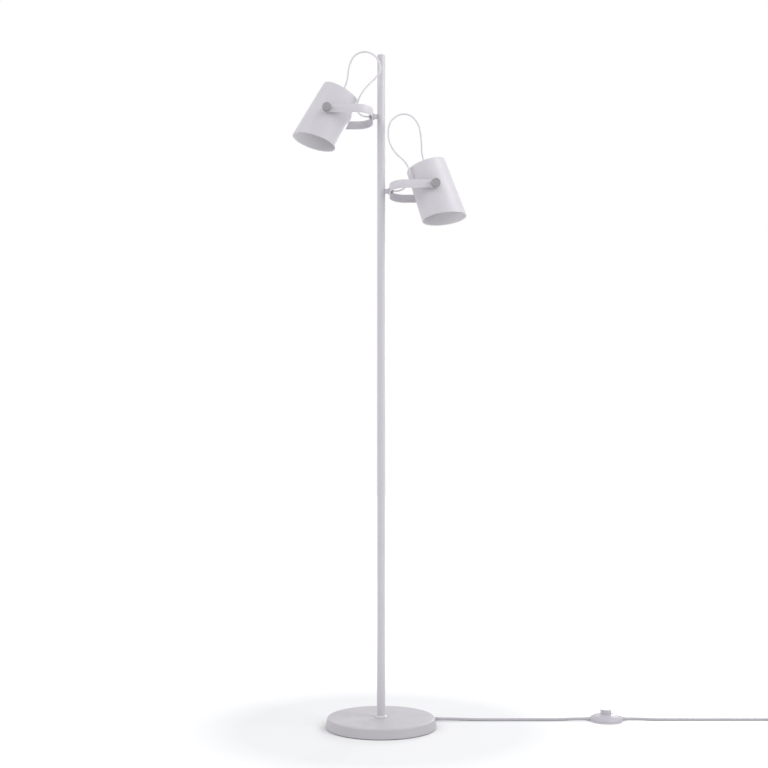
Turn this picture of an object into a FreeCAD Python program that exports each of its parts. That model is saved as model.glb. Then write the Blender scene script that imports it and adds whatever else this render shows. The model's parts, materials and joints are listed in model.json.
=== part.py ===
"""Two-head spot floor lamp: weighted round base, thin pole, two tilting and turning shades in
U-shaped yokes, loose lead loops, and a mains lead with a round foot switch.
Millimetres, +Z up, origin on the floor under the pole. The mains lead runs to +X."""
import FreeCAD, Part
import math
import os
import re
import Sketcher
from FreeCAD import Placement, Rotation, Vector

doc = FreeCAD.newDocument("spot_floor_lamp")

# Driving dimensions: one row each in the sheet, named by its alias.
SIZES = [
    ("overall_height", 1500, "floor to the top of the pole cap"),
    ("pad_thickness", 1.5, "foam pad under the base"),
    ("pad_radius", 112, ""),
    ("base_radius", 120, "cover at its lower rim"),
    ("base_top_radius", 116.3, "cover at its upper edge"),
    ("base_height", 21.5, "floor to the top of the cover"),
    ("cover_wall", 1.5, "pressed steel sheet"),
    ("base_edge_round", 3.5, ""),
    ("weight_radius", 104, "cast iron disc"),
    ("weight_thickness", 16, ""),
    ("hub_radius", 28, "raised middle of the weight, under the cover"),
    ("nut_recess_radius", 20, ""),
    ("nut_recess_depth", 12, "from the weight's underside"),
    ("nipple_radius", 5, "threaded tube that holds pole and base together"),
    ("nipple_bore", 3.7, "radius"),
    ("nipple_length", 36, ""),
    ("pole_radius", 9, ""),
    ("pole_wall", 1.5, ""),
    ("foot_bush_length", 22, "threaded plug in the pole's lower end"),
    ("cap_lip", 2, "cap thickness above the tube"),
    ("cap_plug_length", 12, ""),
    ("collar_radius", 14, "ring at the pole's foot"),
    ("collar_height", 4, ""),
    ("upper_stud_drop", 144, "cap's top down to the upper head's turning axis"),
    ("lower_stud_drop", 317, "cap's top down to the lower head's turning axis"),
    ("stud_radius", 4.2, "hollow threaded stud"),
    ("stud_bore", 2.9, "radius"),
    ("stud_shoulder_radius", 5.5, ""),
    ("stud_collar_radius", 7.5, ""),
    ("stud_collar_width", 2.2, ""),
    ("web_reach", 18.5, "pole axis to the yoke's outer face"),
    ("washer_radius", 7, ""),
    ("washer_thickness", 0.8, ""),
    ("nut_across_corners", 14, "diameter"),
    ("nut_thickness", 4.5, ""),
    ("strip_thickness", 2, "yoke strip"),
    ("strip_width", 19, ""),
    ("arm_half_gap", 51.5, "pivot centre plane to the inside of an arm"),
    ("yoke_corner_radius", 36, "outside"),
    ("pivot_reach", 121, "pole axis to the tilting axis"),
    ("shade_top_radius", 45.5, ""),
    ("shade_mouth_radius", 49.5, ""),
    ("shade_wall", 1.2, ""),
    ("shade_rise", 63, "tilting axis to the closed top"),
    ("shade_drop", 68, "tilting axis to the middle of the mouth"),
    ("shade_edge_round", 1.5, ""),
    ("mouth_angle", 11.4, "degrees, the mouth's slant"),
    ("upper_tilt", 28, "degrees from straight down, outwards"),
    ("lower_tilt", 18.5, "degrees from straight down, outwards"),
    ("upper_roll", 2.5, "degrees, front arm up"),
    ("lower_roll", 3.5, "degrees, front arm up"),
    ("screw_radius", 2.5, "clamping screws of the knobs"),
    ("spacer_radius", 7, "between shade and yoke arm"),
    ("pivot_nut_radius", 5, ""),
    ("pivot_nut_thickness", 4, ""),
    ("knob_radius", 10, ""),
    ("knob_depth", 9.5, ""),
    ("knob_edge_round", 1.2, ""),
    ("flute_radius", 1.1, "grip grooves round the knob"),
    ("gland_radius", 7, "lead bush on the shade's top"),
    ("gland_tip_radius", 3.6, ""),
    ("gland_height", 12, ""),
    ("holder_radius", 14, "lampholder"),
    ("holder_length", 50, ""),
    ("holder_socket_radius", 8.2, ""),
    ("holder_socket_depth", 27, ""),
    ("holder_ring_radius", 18, ""),
    ("holder_ring_width", 5, ""),
    ("bulb_radius", 22.5, "golf-ball bulb"),
    ("bulb_length", 56, "lampholder mouth to the end of the glass"),
    ("bulb_neck_radius", 9, ""),
    ("bulb_wall", 0.8, "glass"),
    ("bulb_cap_radius", 7, ""),
    ("bulb_cap_length", 24, ""),
    ("loop_lead_radius", 2, "lead from head to stud"),
    ("inner_lead_radius", 1.6, "lead inside the pole"),
    ("lead_spread", 1.8, "inner leads each side of the pole axis"),
    ("mains_radius", 3, "mains lead"),
    ("mains_row", 58, "mains lead behind the pole axis"),
    ("exit_height", 4.8, "mains lead where it leaves the base"),
    ("relief_radius", 4.4, "strain relief at the base"),
    ("relief_length", 26, ""),
    ("relief_depth", 19, "cover's lower rim in to its inner end"),
    ("block_length", 28, "terminal block in the base"),
    ("block_width", 18, ""),
    ("block_height", 10, ""),
    ("block_reach", 62, "pole axis to its middle"),
    ("pocket_clearance", 1.5, "round the terminal block"),
    ("channel_width", 16, "groove for the inner leads in the weight"),
    ("switch_reach", 499, "pole axis to the middle of the foot switch"),
    ("switch_radius", 36.5, ""),
    ("switch_base_height", 3.5, ""),
    ("switch_dome_height", 16.5, ""),
    ("switch_wall", 2, ""),
    ("button_radius", 12, ""),
    ("button_top", 25.5, ""),
    ("button_travel", 3, ""),
    ("button_clearance", 0.35, ""),
    ("spring_radius", 5.5, "wire centre"),
    ("spring_wire", 0.5, "radius"),
    ("spring_turns", 4, ""),
    ("post_radius", 3.5, "stop under the button"),
    ("post_height", 4, ""),
    ("neck_length", 9, "lead neck of the switch"),
    ("coil_reach", 905, "pole axis to the middle of the coil"),
    ("coil_radius", 44.5, "outer turn's centre line"),
    ("coil_pitch", 6.6, "between turns and between layers"),
    ("coil_turns", 5.25, "in two layers"),
    ("tie_thickness", 1, ""),
    ("tie_width", 6, ""),
    ("plug_length", 36, ""),
    ("plug_width", 25, ""),
    ("plug_thickness", 14, ""),
    ("pin_radius", 2, ""),
    ("pin_length", 19, ""),
    ("pin_spacing", 18.6, ""),
    ("running_gap", 0.1, "between turning pieces"),
    ("seat_gap", 0.05, "between pieces that sit on each other"),
]
sheet = doc.addObject("Spreadsheet::Sheet", "sizes")
for row, (alias, value, note) in enumerate(SIZES, start=1):
    sheet.set("A%d" % row, alias)
    sheet.set("B%d" % row, str(value))
    sheet.set("C%d" % row, note)
    sheet.setAlias("B%d" % row, alias)
doc.recompute()

ALIASES = {alias for alias, value, note in SIZES}
NODES = []


def size(alias):
    """A driving dimension, read from the sheet."""
    return float(getattr(sheet, alias))


def linked(text):
    """An expression with each alias written as a reference to the sheet."""
    def named(word):
        return ("sizes." if word.group() in ALIASES else "") + word.group()
    return re.sub(r"[a-z][a-z_]+", named, text)


def bind(item, **expressions):
    """Bind properties to the sheet; a double underscore stands for a dot."""
    for name, text in expressions.items():
        item.setExpression(name.replace("__", "."), linked(text))
    return item


def keep(item, label, placement=None):
    """Name a finished sub-part and put it in its place."""
    item.Label = label
    if placement is not None:
        item.Placement = placement
    NODES.append(item)
    return item


def cylinder(name, radius, height, start="0", across=None):
    """A cylinder along Z from a height; across moves it along X."""
    item = doc.addObject("Part::Cylinder", name)
    bind(item, Radius=radius, Height=height, Placement__Base__z=start)
    if across:
        bind(item, Placement__Base__x=across)
    return item


def box(name, length, width, height, corner=("0", "0", "0")):
    """A box with its low corner at the given expressions."""
    item = doc.addObject("Part::Box", name)
    bind(item, Length=length, Width=width, Height=height)
    across, deep, up = corner
    return bind(item, Placement__Base__x=across, Placement__Base__y=deep, Placement__Base__z=up)


def plain_box(name, length, width, height, placement):
    """A box of sizes worked out from the sheet, in a turned place."""
    item = doc.addObject("Part::Box", name)
    item.Length = length
    item.Width = width
    item.Height = height
    item.Placement = placement
    return item


def cut(name, base, tool):
    """One solid less another."""
    item = doc.addObject("Part::Cut", name)
    item.Base = base
    item.Tool = tool
    return item


def fuse(name, shapes):
    """Several solids joined in one, or a group of separate solids."""
    item = doc.addObject("Part::MultiFuse", name)
    item.Shapes = shapes
    return item


def turned(name, profile):
    """A turned body: a closed outline of (radius, height) expressions revolved about Z."""
    body = doc.addObject("PartDesign::Body", name)
    sketch = body.newObject("Sketcher::SketchObject", name + "_outline")
    plane = [feature for feature in body.Origin.OriginFeatures if feature.Role == "XZ_Plane"][0]
    sketch.AttachmentSupport = (plane, [""])
    sketch.MapMode = "FlatFace"
    count = len(profile)
    for index in range(count):
        angle = 2 * math.pi * index / count
        after = 2 * math.pi * (index + 1) / count
        start = Vector(20 + 10 * math.cos(angle), 20 + 10 * math.sin(angle), 0)
        end = Vector(20 + 10 * math.cos(after), 20 + 10 * math.sin(after), 0)
        sketch.addGeometry(Part.LineSegment(start, end), False)
    for index in range(count):
        sketch.addConstraint(Sketcher.Constraint("Coincident", index, 2, (index + 1) % count, 1))
    for index, (radius, height) in enumerate(profile):
        across = sketch.addConstraint(Sketcher.Constraint("DistanceX", -1, 1, index, 1, 20.0))
        sketch.setExpression("Constraints[%d]" % across, linked(radius))
        up = sketch.addConstraint(Sketcher.Constraint("DistanceY", -1, 1, index, 1, 20.0))
        sketch.setExpression("Constraints[%d]" % up, linked(height))
    turn = body.newObject("PartDesign::Revolution", name + "_turn")
    turn.Profile = sketch
    turn.ReferenceAxis = (sketch, ["V_Axis"])
    turn.Angle = 360
    sketch.Visibility = False
    return body


def round_ring(body, radius, height, rounding):
    """Round the circular edge of a turned body at a radius and a height, both in millimetres."""
    doc.recompute()
    tip = body.Tip
    names = []
    for index, edge in enumerate(tip.Shape.Edges, start=1):
        curve = edge.Curve
        if not isinstance(curve, Part.Circle):
            continue
        if abs(curve.Radius - radius) + abs(curve.Center.z - height) < 0.01:
            names.append("Edge%d" % index)
    fillet = body.newObject("PartDesign::Fillet", body.Name + "_round")
    fillet.Base = (tip, names)
    fillet.setExpression("Radius", linked(rounding))
    return fillet


ALONG_X = Placement(Vector(0, 0, 0), Rotation(Vector(0, 1, 0), 90))
TO_FRONT = Placement(Vector(0, 0, 0), Rotation(Vector(1, 0, 0), 90))
TO_BACK = Placement(Vector(0, 0, 0), Rotation(Vector(1, 0, 0), -90))


def moved(x, y, z):
    """A plain shift."""
    return Placement(Vector(x, y, z), Rotation())


# Cords: straight runs joined by tangent arcs, swept as one tube.
def corner_arc(before, corner, after, gaps):
    """The arc at a corner of a route: its first, middle and last point and its radius."""
    into = (corner - before).normalize()
    out = (after - corner).normalize()
    half_turn = into.getAngle(out) / 2
    reach = 0.45 * min(gaps)
    radius = reach / math.tan(half_turn)
    first = corner - into * reach
    last = corner + out * reach
    inward = (out - into).normalize()
    middle = corner + inward * (radius / math.cos(half_turn) - radius)
    return first, middle, last, radius


def route_wire(points):
    """A wire of straight runs and tangent arcs, and its smallest radius."""
    runs = [(after - before).Length for before, after in zip(points, points[1:])]
    edges = []
    radii = []
    here = points[0]
    for index in range(1, len(points) - 1):
        first, middle, last, radius = corner_arc(points[index - 1], points[index], points[index + 1],
                                                 (runs[index - 1], runs[index]))
        edges.append(Part.LineSegment(here, first).toShape())
        edges.append(Part.Arc(first, middle, last).toShape())
        radii.append(radius)
        here = last
    edges.append(Part.LineSegment(here, points[-1]).toShape())
    return Part.Wire(edges), radii


def swept(wire, radius, start, heading):
    """A solid tube of a radius along a wire."""
    ring = Part.Wire([Part.Circle(start, heading, radius).toShape()])
    return wire.makePipeShell([ring], True, False)


def cord(label, points, radius):
    """A free lead's solid along a route; prints its length, radii and volume check."""
    points = [Vector(*point) for point in points]
    wire, radii = route_wire(points)
    tube = swept(wire, radius, points[0], points[1] - points[0])
    expected = math.pi * radius * radius * wire.Length
    print("%s: length %.0f, least radius %.1f (%.1f diameters), volume ratio %.4f"
          % (label, wire.Length, min(radii), min(radii) / (2 * radius), tube.Volume / expected))
    item = doc.addObject("Part::Feature", label)
    item.Shape = tube
    return keep(item, label)


def base_pieces():
    """Pad, weight, cover and the bolt set that clamps them to the pole."""
    keep(cylinder("base_pad_piece", "pad_radius", "pad_thickness"), "base_pad")

    disc = turned("weight_disc", [
        ("nipple_radius + seat_gap", "pad_thickness + nut_recess_depth"),
        ("nut_recess_radius", "pad_thickness + nut_recess_depth"),
        ("nut_recess_radius", "pad_thickness"),
        ("weight_radius", "pad_thickness"),
        ("weight_radius", "pad_thickness + weight_thickness"),
        ("hub_radius", "pad_thickness + weight_thickness"),
        ("hub_radius", "base_height - cover_wall"),
        ("nipple_radius + seat_gap", "base_height - cover_wall"),
    ])
    pocket = box("block_pocket", "base_radius", "block_width + 2 * pocket_clearance",
                 "block_height + pad_thickness + 2 * pocket_clearance",
                 ("block_reach - block_length / 2 - channel_width",
                  "mains_row - block_width / 2 - pocket_clearance", "0"))
    reach = Vector(size("block_reach") - size("block_length") / 2, size("mains_row"), 0)
    along = Rotation(Vector(1, 0, 0), reach)
    channel = plain_box("lead_channel", reach.Length, size("channel_width"), size("nut_recess_depth"),
                        Placement(along.multVec(Vector(0, -size("channel_width") / 2, 0)), along))
    keep(cut("base_weight_piece", disc, fuse("weight_pockets", [pocket, channel])), "base_weight")

    shell = turned("cover_shell", [
        ("nipple_radius + seat_gap", "base_height - cover_wall"),
        ("base_top_radius - cover_wall", "base_height - cover_wall"),
        ("base_radius - cover_wall", "pad_thickness"),
        ("base_radius", "pad_thickness"),
        ("base_top_radius", "base_height"),
        ("nipple_radius + seat_gap", "base_height"),
    ])
    round_ring(shell, size("base_top_radius"), size("base_height"), "base_edge_round")
    notch = box("lead_notch", "base_radius", "2 * (relief_radius + running_gap)",
                "exit_height + relief_radius + running_gap - pad_thickness",
                ("base_radius - relief_depth - cover_wall", "mains_row - relief_radius - running_gap",
                 "pad_thickness - seat_gap"))
    keep(cut("base_cover_piece", shell, notch), "base_cover")

    recess_top = "pad_thickness + nut_recess_depth"
    keep(turned("base_washer_piece", [
        ("nipple_radius + seat_gap", recess_top + " - 2 * washer_thickness"),
        ("nut_recess_radius - 4", recess_top + " - 2 * washer_thickness"),
        ("nut_recess_radius - 4", recess_top),
        ("nipple_radius + seat_gap", recess_top),
    ]), "base_washer")
    nut = doc.addObject("Part::Prism", "base_nut_blank")
    nut.Polygon = 6
    bind(nut, Circumradius="nipple_radius * 1.9", Height="nut_thickness",
         Placement__Base__z=recess_top + " - 2 * washer_thickness - nut_thickness")
    nut_hole = cylinder("base_nut_hole", "nipple_radius + seat_gap", "base_height")
    keep(cut("base_nut_piece", nut, nut_hole), "base_nut")
    nipple_low = recess_top + " - 2 * washer_thickness - nut_thickness - 1"
    keep(turned("pole_nipple_piece", [
        ("nipple_bore", nipple_low), ("nipple_radius", nipple_low),
        ("nipple_radius", nipple_low + " + nipple_length"), ("nipple_bore", nipple_low + " + nipple_length"),
    ]), "pole_nipple")


def pole_pieces():
    """Pole tube with its lead holes, foot bush, cap and the ring at its foot."""
    top = "overall_height - cap_lip"
    tube = turned("pole_tube", [
        ("pole_radius - pole_wall", "base_height"), ("pole_radius", "base_height"),
        ("pole_radius", top), ("pole_radius - pole_wall", top),
    ])
    holes = []
    for name, turn in (("upper", -90), ("lower", 90)):
        hole = cylinder(name + "_stud_hole", "stud_radius + seat_gap", "2 * pole_radius",
                        "overall_height - %s_stud_drop" % name)
        hole.Placement.Rotation = Rotation(Vector(0, 1, 0), turn)
        holes.append(hole)
    keep(cut("pole_piece", tube, fuse("stud_holes", holes)), "pole")
    keep(turned("foot_bush_piece", [
        ("nipple_radius + seat_gap", "base_height"), ("pole_radius - pole_wall - seat_gap", "base_height"),
        ("pole_radius - pole_wall - seat_gap", "base_height + foot_bush_length"),
        ("nipple_radius + seat_gap", "base_height + foot_bush_length"),
    ]), "pole_foot_bush")
    cap = turned("pole_cap_piece", [
        ("0", top + " - cap_plug_length"), ("pole_radius - pole_wall - seat_gap", top + " - cap_plug_length"),
        ("pole_radius - pole_wall - seat_gap", top), ("pole_radius", top),
        ("pole_radius", "overall_height"), ("0", "overall_height"),
    ])
    round_ring(cap, size("pole_radius"), size("overall_height"), "cap_lip * 0.4")
    keep(cap, "pole_cap")
    keep(turned("pole_collar_piece", [
        ("pole_radius + seat_gap", "base_height"), ("collar_radius", "base_height"),
        ("collar_radius", "base_height + collar_height * 0.3"),
        ("collar_radius - 1", "base_height + collar_height * 0.45"),
        ("collar_radius - 2.6", "base_height + collar_height * 0.6"),
        ("pole_radius + 0.9", "base_height + collar_height"),
        ("pole_radius + seat_gap", "base_height + collar_height"),
    ]), "pole_collar")


def stud_height(name):
    """Floor to a head's turning axis."""
    return size("overall_height") - size(name + "_stud_drop")


def head_frame(name):
    """Frame of a head on its stud axis: X points away from the pole, Y along the tilting axis."""
    turn = 180 if name == "upper" else 0
    rolled = Placement(Vector(0, 0, stud_height(name)),
                       Rotation(Vector(1, 0, 0), -size(name + "_roll")))
    return rolled.multiply(Placement(Vector(0, 0, 0), Rotation(Vector(0, 0, 1), turn)))


def shade_frame(name):
    """Frame of a shade: origin on the tilting axis, Z along the shade towards its closed top."""
    tilted = Placement(Vector(size("pivot_reach"), 0, 0), Rotation(Vector(0, 1, 0), -size(name + "_tilt")))
    return head_frame(name).multiply(tilted)


def stud_pieces(name):
    """Hollow stud in the pole wall, washers, nut and end bush; turned about Z, then laid along X."""
    place = head_frame(name).multiply(ALONG_X)
    collar_end = "web_reach - washer_thickness - 2 * seat_gap"
    stud_end = "web_reach + strip_thickness + washer_thickness + nut_thickness + 1"
    shoulder = cylinder(name + "_stud_shoulder", "stud_shoulder_radius", collar_end)
    collar = cylinder(name + "_stud_collar", "stud_collar_radius", "stud_collar_width",
                      collar_end + " - stud_collar_width")
    pole_space = cylinder(name + "_pole_space", "pole_radius + seat_gap", "6 * pole_radius")
    pole_space.Placement = Placement(Vector(3 * size("pole_radius"), 0, 0), Rotation(Vector(0, 1, 0), -90))
    seat = cut(name + "_stud_seat", fuse(name + "_stud_outer", [shoulder, collar]), pole_space)
    core = cylinder(name + "_stud_core", "stud_radius", stud_end + " - pole_radius + pole_wall + 1",
                    "pole_radius - pole_wall - 1")
    bore = cylinder(name + "_stud_bore", "stud_bore", "2 * web_reach + 4 * nut_thickness")
    keep(cut(name + "_stud_piece", fuse(name + "_stud_blank", [seat, core]), bore), name + "_stud", place)

    rings = []
    starts = (("outer", collar_end + " + seat_gap"), ("inner", "web_reach + strip_thickness + seat_gap"))
    for label, start in starts:
        ring = cylinder(name + "_washer_" + label, "washer_radius", "washer_thickness", start)
        hole = cylinder(name + "_washer_hole_" + label, "stud_radius + seat_gap", "web_reach * 3")
        rings.append(cut(name + "_washer_ring_" + label, ring, hole))
    keep(fuse(name + "_washer_pair", rings), name + "_stud_washers", place)

    nut = doc.addObject("Part::Prism", name + "_nut_blank")
    nut.Polygon = 6
    bind(nut, Circumradius="nut_across_corners / 2", Height="nut_thickness",
         Placement__Base__z="web_reach + strip_thickness + washer_thickness + 2 * seat_gap")
    nut_hole = cylinder(name + "_nut_hole", "stud_radius + seat_gap", "web_reach * 3")
    keep(cut(name + "_nut_piece", nut, nut_hole), name + "_stud_nut", place)

    keep(turned(name + "_bush_piece", [
        ("inner_lead_radius + seat_gap", stud_end + " - 5"), ("stud_bore - seat_gap", stud_end + " - 5"),
        ("stud_bore - seat_gap", stud_end), ("stud_radius", stud_end),
        ("stud_radius - 0.6", stud_end + " + 1.5"), ("inner_lead_radius + seat_gap", stud_end + " + 1.5"),
    ]), name + "_stud_bush", place)


def yoke_piece(name):
    """U-shaped strip: web at the stud, two arms to the tilting axis, with round ends."""
    end_radius = "strip_width / 2"
    half = "(arm_half_gap + strip_thickness)"
    outer = box(name + "_yoke_outer", "pivot_reach - web_reach + " + end_radius, "2 * " + half, "strip_width",
                ("web_reach", "-" + half, "-strip_width / 2"))
    inner = box(name + "_yoke_inner", "pivot_reach", "2 * arm_half_gap", "strip_width * 2",
                ("web_reach + strip_thickness", "-arm_half_gap", "-strip_width"))
    rounded = []
    for blank, radius in ((outer, size("yoke_corner_radius")),
                          (inner, size("yoke_corner_radius") - size("strip_thickness"))):
        doc.recompute()
        near = min(vertex.X for vertex in blank.Shape.Vertexes)
        picks = [index for index, edge in enumerate(blank.Shape.Edges, start=1)
                 if all(abs(vertex.X - near) < 0.01 for vertex in edge.Vertexes)
                 and abs(edge.Vertexes[0].Z - edge.Vertexes[1].Z) > 1]
        fillet = doc.addObject("Part::Fillet", blank.Name + "_corners")
        fillet.Base = blank
        fillet.Edges = [(index, radius, radius) for index in picks]
        rounded.append(fillet)
    strip = cut(name + "_yoke_strip", rounded[0], rounded[1])
    flat = box(name + "_yoke_flat", "pivot_reach - web_reach", "2 * " + half, "strip_width",
               ("web_reach", "-" + half, "-strip_width / 2"))
    end = cylinder(name + "_yoke_end", end_radius, "2 * " + half)
    end.Placement = Placement(Vector(size("pivot_reach"), size("arm_half_gap") + size("strip_thickness"), 0),
                              Rotation(Vector(1, 0, 0), 90))
    outline = doc.addObject("Part::MultiCommon", name + "_yoke_blank")
    outline.Shapes = [strip, fuse(name + "_yoke_side", [flat, end])]
    stud_hole = cylinder(name + "_yoke_stud_hole", "stud_radius + running_gap", "3 * web_reach")
    stud_hole.Placement.Rotation = Rotation(Vector(0, 1, 0), 90)
    pin_hole = cylinder(name + "_yoke_pin_hole", "screw_radius + running_gap", "4 * arm_half_gap")
    pin_hole.Placement = Placement(Vector(size("pivot_reach"), 2 * size("arm_half_gap"), 0),
                                   Rotation(Vector(1, 0, 0), 90))
    keep(cut(name + "_yoke_piece", outline, fuse(name + "_yoke_holes", [stud_hole, pin_hole])),
         name + "_yoke", head_frame(name))


# Radius of the shade's outside at a height below its top, as an expression.
SHADE_SLOPE = "(shade_mouth_radius - shade_top_radius) / (shade_rise + shade_drop)"
SHADE_LENGTH = "(shade_rise + shade_drop + shade_mouth_radius * tan(mouth_angle * 1deg) + 4)"


def shade_blank(name, inset, top):
    """A solid cone of the shade's outside, drawn in by an inset and closed below a top height."""
    cone = doc.addObject("Part::Cone", name)
    bind(cone, Radius1="shade_top_radius + %s * %s - %s" % (SHADE_SLOPE, SHADE_LENGTH, inset),
         Radius2="shade_top_radius - " + inset, Height=SHADE_LENGTH + " - (%s)" % top,
         Placement__Base__z="shade_rise - " + SHADE_LENGTH)
    return cone


def shade_piece(name):
    """Thin conical shell with a flat closed top, a slanted mouth, and holes for screws and gland."""
    place = shade_frame(name)
    profile = [
        ("0", "shade_rise - shade_wall"), ("shade_top_radius - shade_wall", "shade_rise - shade_wall"),
        ("shade_top_radius - shade_wall + %s * %s" % (SHADE_SLOPE, SHADE_LENGTH),
         "shade_rise - " + SHADE_LENGTH),
        ("shade_top_radius + %s * %s" % (SHADE_SLOPE, SHADE_LENGTH), "shade_rise - " + SHADE_LENGTH),
        ("shade_top_radius", "shade_rise"), ("0", "shade_rise"),
    ]
    shell = turned(name + "_shade_shell", profile)
    round_ring(shell, size("shade_top_radius"), size("shade_rise"), "shade_edge_round")
    wide = 4 * size("shade_mouth_radius")
    drop = size("shade_drop")
    turn = Rotation(Vector(0, 1, 0), size("mouth_angle"))
    corner = turn.multVec(Vector(-wide / 2, -wide / 2, -drop))
    slant = plain_box(name + "_mouth_cut", wide, wide, drop, Placement(corner + Vector(0, 0, -drop), turn))
    pin_hole = cylinder(name + "_shade_pin_hole", "screw_radius + seat_gap", "4 * arm_half_gap")
    pin_hole.Placement = Placement(Vector(0, 2 * size("arm_half_gap"), 0), Rotation(Vector(1, 0, 0), 90))
    top_hole = cylinder(name + "_shade_top_hole", "stud_radius + seat_gap", "shade_rise", "shade_rise / 2")
    tools = fuse(name + "_shade_tools", [slant, pin_hole, top_hole])
    keep(cut(name + "_shade_piece", shell, tools), name + "_shade", place)


def pivot_pieces(name):
    """Spacers between shade and arms, nuts inside the shade, and the two clamping knobs."""
    place = shade_frame(name)
    spacers = []
    nuts = []
    inside = "(shade_top_radius + %s * shade_rise - shade_wall)" % SHADE_SLOPE
    nut_face = "sqrt(%s ^ 2 - pivot_nut_radius ^ 2) - 0.4" % inside
    for side, way in (("front", TO_FRONT), ("rear", TO_BACK)):
        ring = turned("%s_%s_spacer_ring" % (name, side), [
            ("screw_radius + seat_gap", "shade_top_radius / 2"), ("spacer_radius", "shade_top_radius / 2"),
            ("spacer_radius", "arm_half_gap - running_gap"),
            ("screw_radius + seat_gap", "arm_half_gap - running_gap"),
        ])
        ring.Placement = way
        cone = shade_blank("%s_%s_shade_space" % (name, side), "(-seat_gap)", "0")
        spacers.append(cut("%s_%s_spacer" % (name, side), ring, cone))
        nut = turned("%s_%s_pivot_nut" % (name, side), [
            ("screw_radius + seat_gap", nut_face + " - pivot_nut_thickness"),
            ("pivot_nut_radius", nut_face + " - pivot_nut_thickness"),
            ("pivot_nut_radius", nut_face), ("screw_radius + seat_gap", nut_face),
        ])
        nut.Placement = way
        nuts.append(nut)
    keep(fuse(name + "_spacer_pair", spacers), name + "_pivot_spacers", place)
    keep(fuse(name + "_nut_pair", nuts), name + "_pivot_nuts", place)
    arm_face = "arm_half_gap + strip_thickness + running_gap"
    for side, way in (("front", TO_FRONT), ("rear", TO_BACK)):
        grip = turned("%s_%s_knob_grip" % (name, side), [
            ("0", nut_face + " - pivot_nut_thickness - 2"),
            ("screw_radius", nut_face + " - pivot_nut_thickness - 2"),
            ("screw_radius", arm_face), ("knob_radius - 0.8", arm_face),
            ("knob_radius", arm_face + " + 1"), ("knob_radius", arm_face + " + knob_depth"),
            ("knob_radius - 2.4", arm_face + " + knob_depth"),
            ("knob_radius - 3", arm_face + " + knob_depth - 0.5"), ("0", arm_face + " + knob_depth - 0.5"),
        ])
        outer_face = size("arm_half_gap") + size("strip_thickness") + size("running_gap") + size("knob_depth")
        round_ring(grip, size("knob_radius"), outer_face, "knob_edge_round")
        flutes = []
        for index in range(16):
            flute = cylinder("%s_%s_flute_%d" % (name, side, index), "flute_radius", "knob_depth * 2",
                             arm_face)
            angle = 2 * math.pi * index / 16
            bind(flute, Placement__Base__x="(knob_radius + flute_radius * 0.55) * %.6f" % math.cos(angle),
                 Placement__Base__y="(knob_radius + flute_radius * 0.55) * %.6f" % math.sin(angle))
            flutes.append(flute)
        knob = cut("%s_%s_knob_piece" % (name, side), grip, fuse("%s_%s_flutes" % (name, side), flutes))
        keep(knob, "%s_%s_knob" % (name, side), place.multiply(way))


def lamp_pieces(name):
    """Lead gland on the shade's top, lampholder with its ring, and the bulb."""
    place = shade_frame(name)
    keep(turned(name + "_gland_piece", [
        ("inner_lead_radius + seat_gap", "shade_rise - shade_wall - 2"),
        ("stud_radius", "shade_rise - shade_wall - 2"), ("stud_radius", "shade_rise"),
        ("gland_radius", "shade_rise"), ("gland_radius", "shade_rise + gland_height * 0.3"),
        ("gland_tip_radius + 0.8", "shade_rise + gland_height * 0.55"),
        ("gland_tip_radius", "shade_rise + gland_height"),
        ("inner_lead_radius + seat_gap", "shade_rise + gland_height"),
    ]), name + "_lead_gland", place)
    top = "shade_rise - shade_wall"
    mouth = top + " - holder_length"
    keep(turned(name + "_holder_piece", [
        ("0", mouth + " + holder_socket_depth"), ("holder_socket_radius", mouth + " + holder_socket_depth"),
        ("holder_socket_radius", mouth), ("holder_radius", mouth),
        ("holder_radius", top + " - holder_length * 0.3"),
        ("holder_radius - 3", top + " - holder_length * 0.15"), ("holder_radius - 3", top),
        ("stud_radius + seat_gap", top), ("stud_radius + seat_gap", top + " - 2.5"), ("0", top + " - 2.5"),
    ]), name + "_lampholder", place)
    ring_low = mouth + " + 6"
    keep(turned(name + "_holder_ring_piece", [
        ("holder_radius + seat_gap", ring_low), ("holder_ring_radius", ring_low),
        ("holder_ring_radius", ring_low + " + 1.6"), ("holder_radius + 1.6", ring_low + " + 1.6"),
        ("holder_radius + 1.6", ring_low + " + holder_ring_width"),
        ("holder_radius + seat_gap", ring_low + " + holder_ring_width"),
    ]), name + "_holder_ring", place)
    cap_low = mouth + " + 1"
    keep(turned(name + "_bulb_cap_piece", [
        ("0", cap_low), ("bulb_cap_radius", cap_low), ("bulb_cap_radius", cap_low + " + bulb_cap_length - 4"),
        ("bulb_cap_radius - 4", cap_low + " + bulb_cap_length"), ("0", cap_low + " + bulb_cap_length"),
    ]), name + "_bulb_cap", place)
    glass = []
    for label, inset in (("outer", "0"), ("inner", "bulb_wall")):
        ball = doc.addObject("Part::Sphere", "%s_bulb_ball_%s" % (name, label))
        bind(ball, Radius="bulb_radius - " + inset, Placement__Base__z=mouth + " - bulb_length + bulb_radius")
        neck = doc.addObject("Part::Cone", "%s_bulb_neck_%s" % (name, label))
        bind(neck, Radius1="bulb_radius * 0.86 - " + inset, Radius2="bulb_neck_radius - " + inset,
             Height="bulb_length - bulb_radius * 1.51 - 1 - " + inset,
             Placement__Base__z=mouth + " - bulb_length + bulb_radius * 1.51")
        glass.append([ball, neck])
    stem = cylinder(name + "_bulb_stem", "bulb_cap_radius - seat_gap", "2", mouth + " - 1")
    outside = fuse(name + "_bulb_outside", glass[0] + [stem])
    keep(cut(name + "_bulb_glass_piece", outside, fuse(name + "_bulb_inside", glass[1])),
         name + "_bulb_glass", place)


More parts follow.
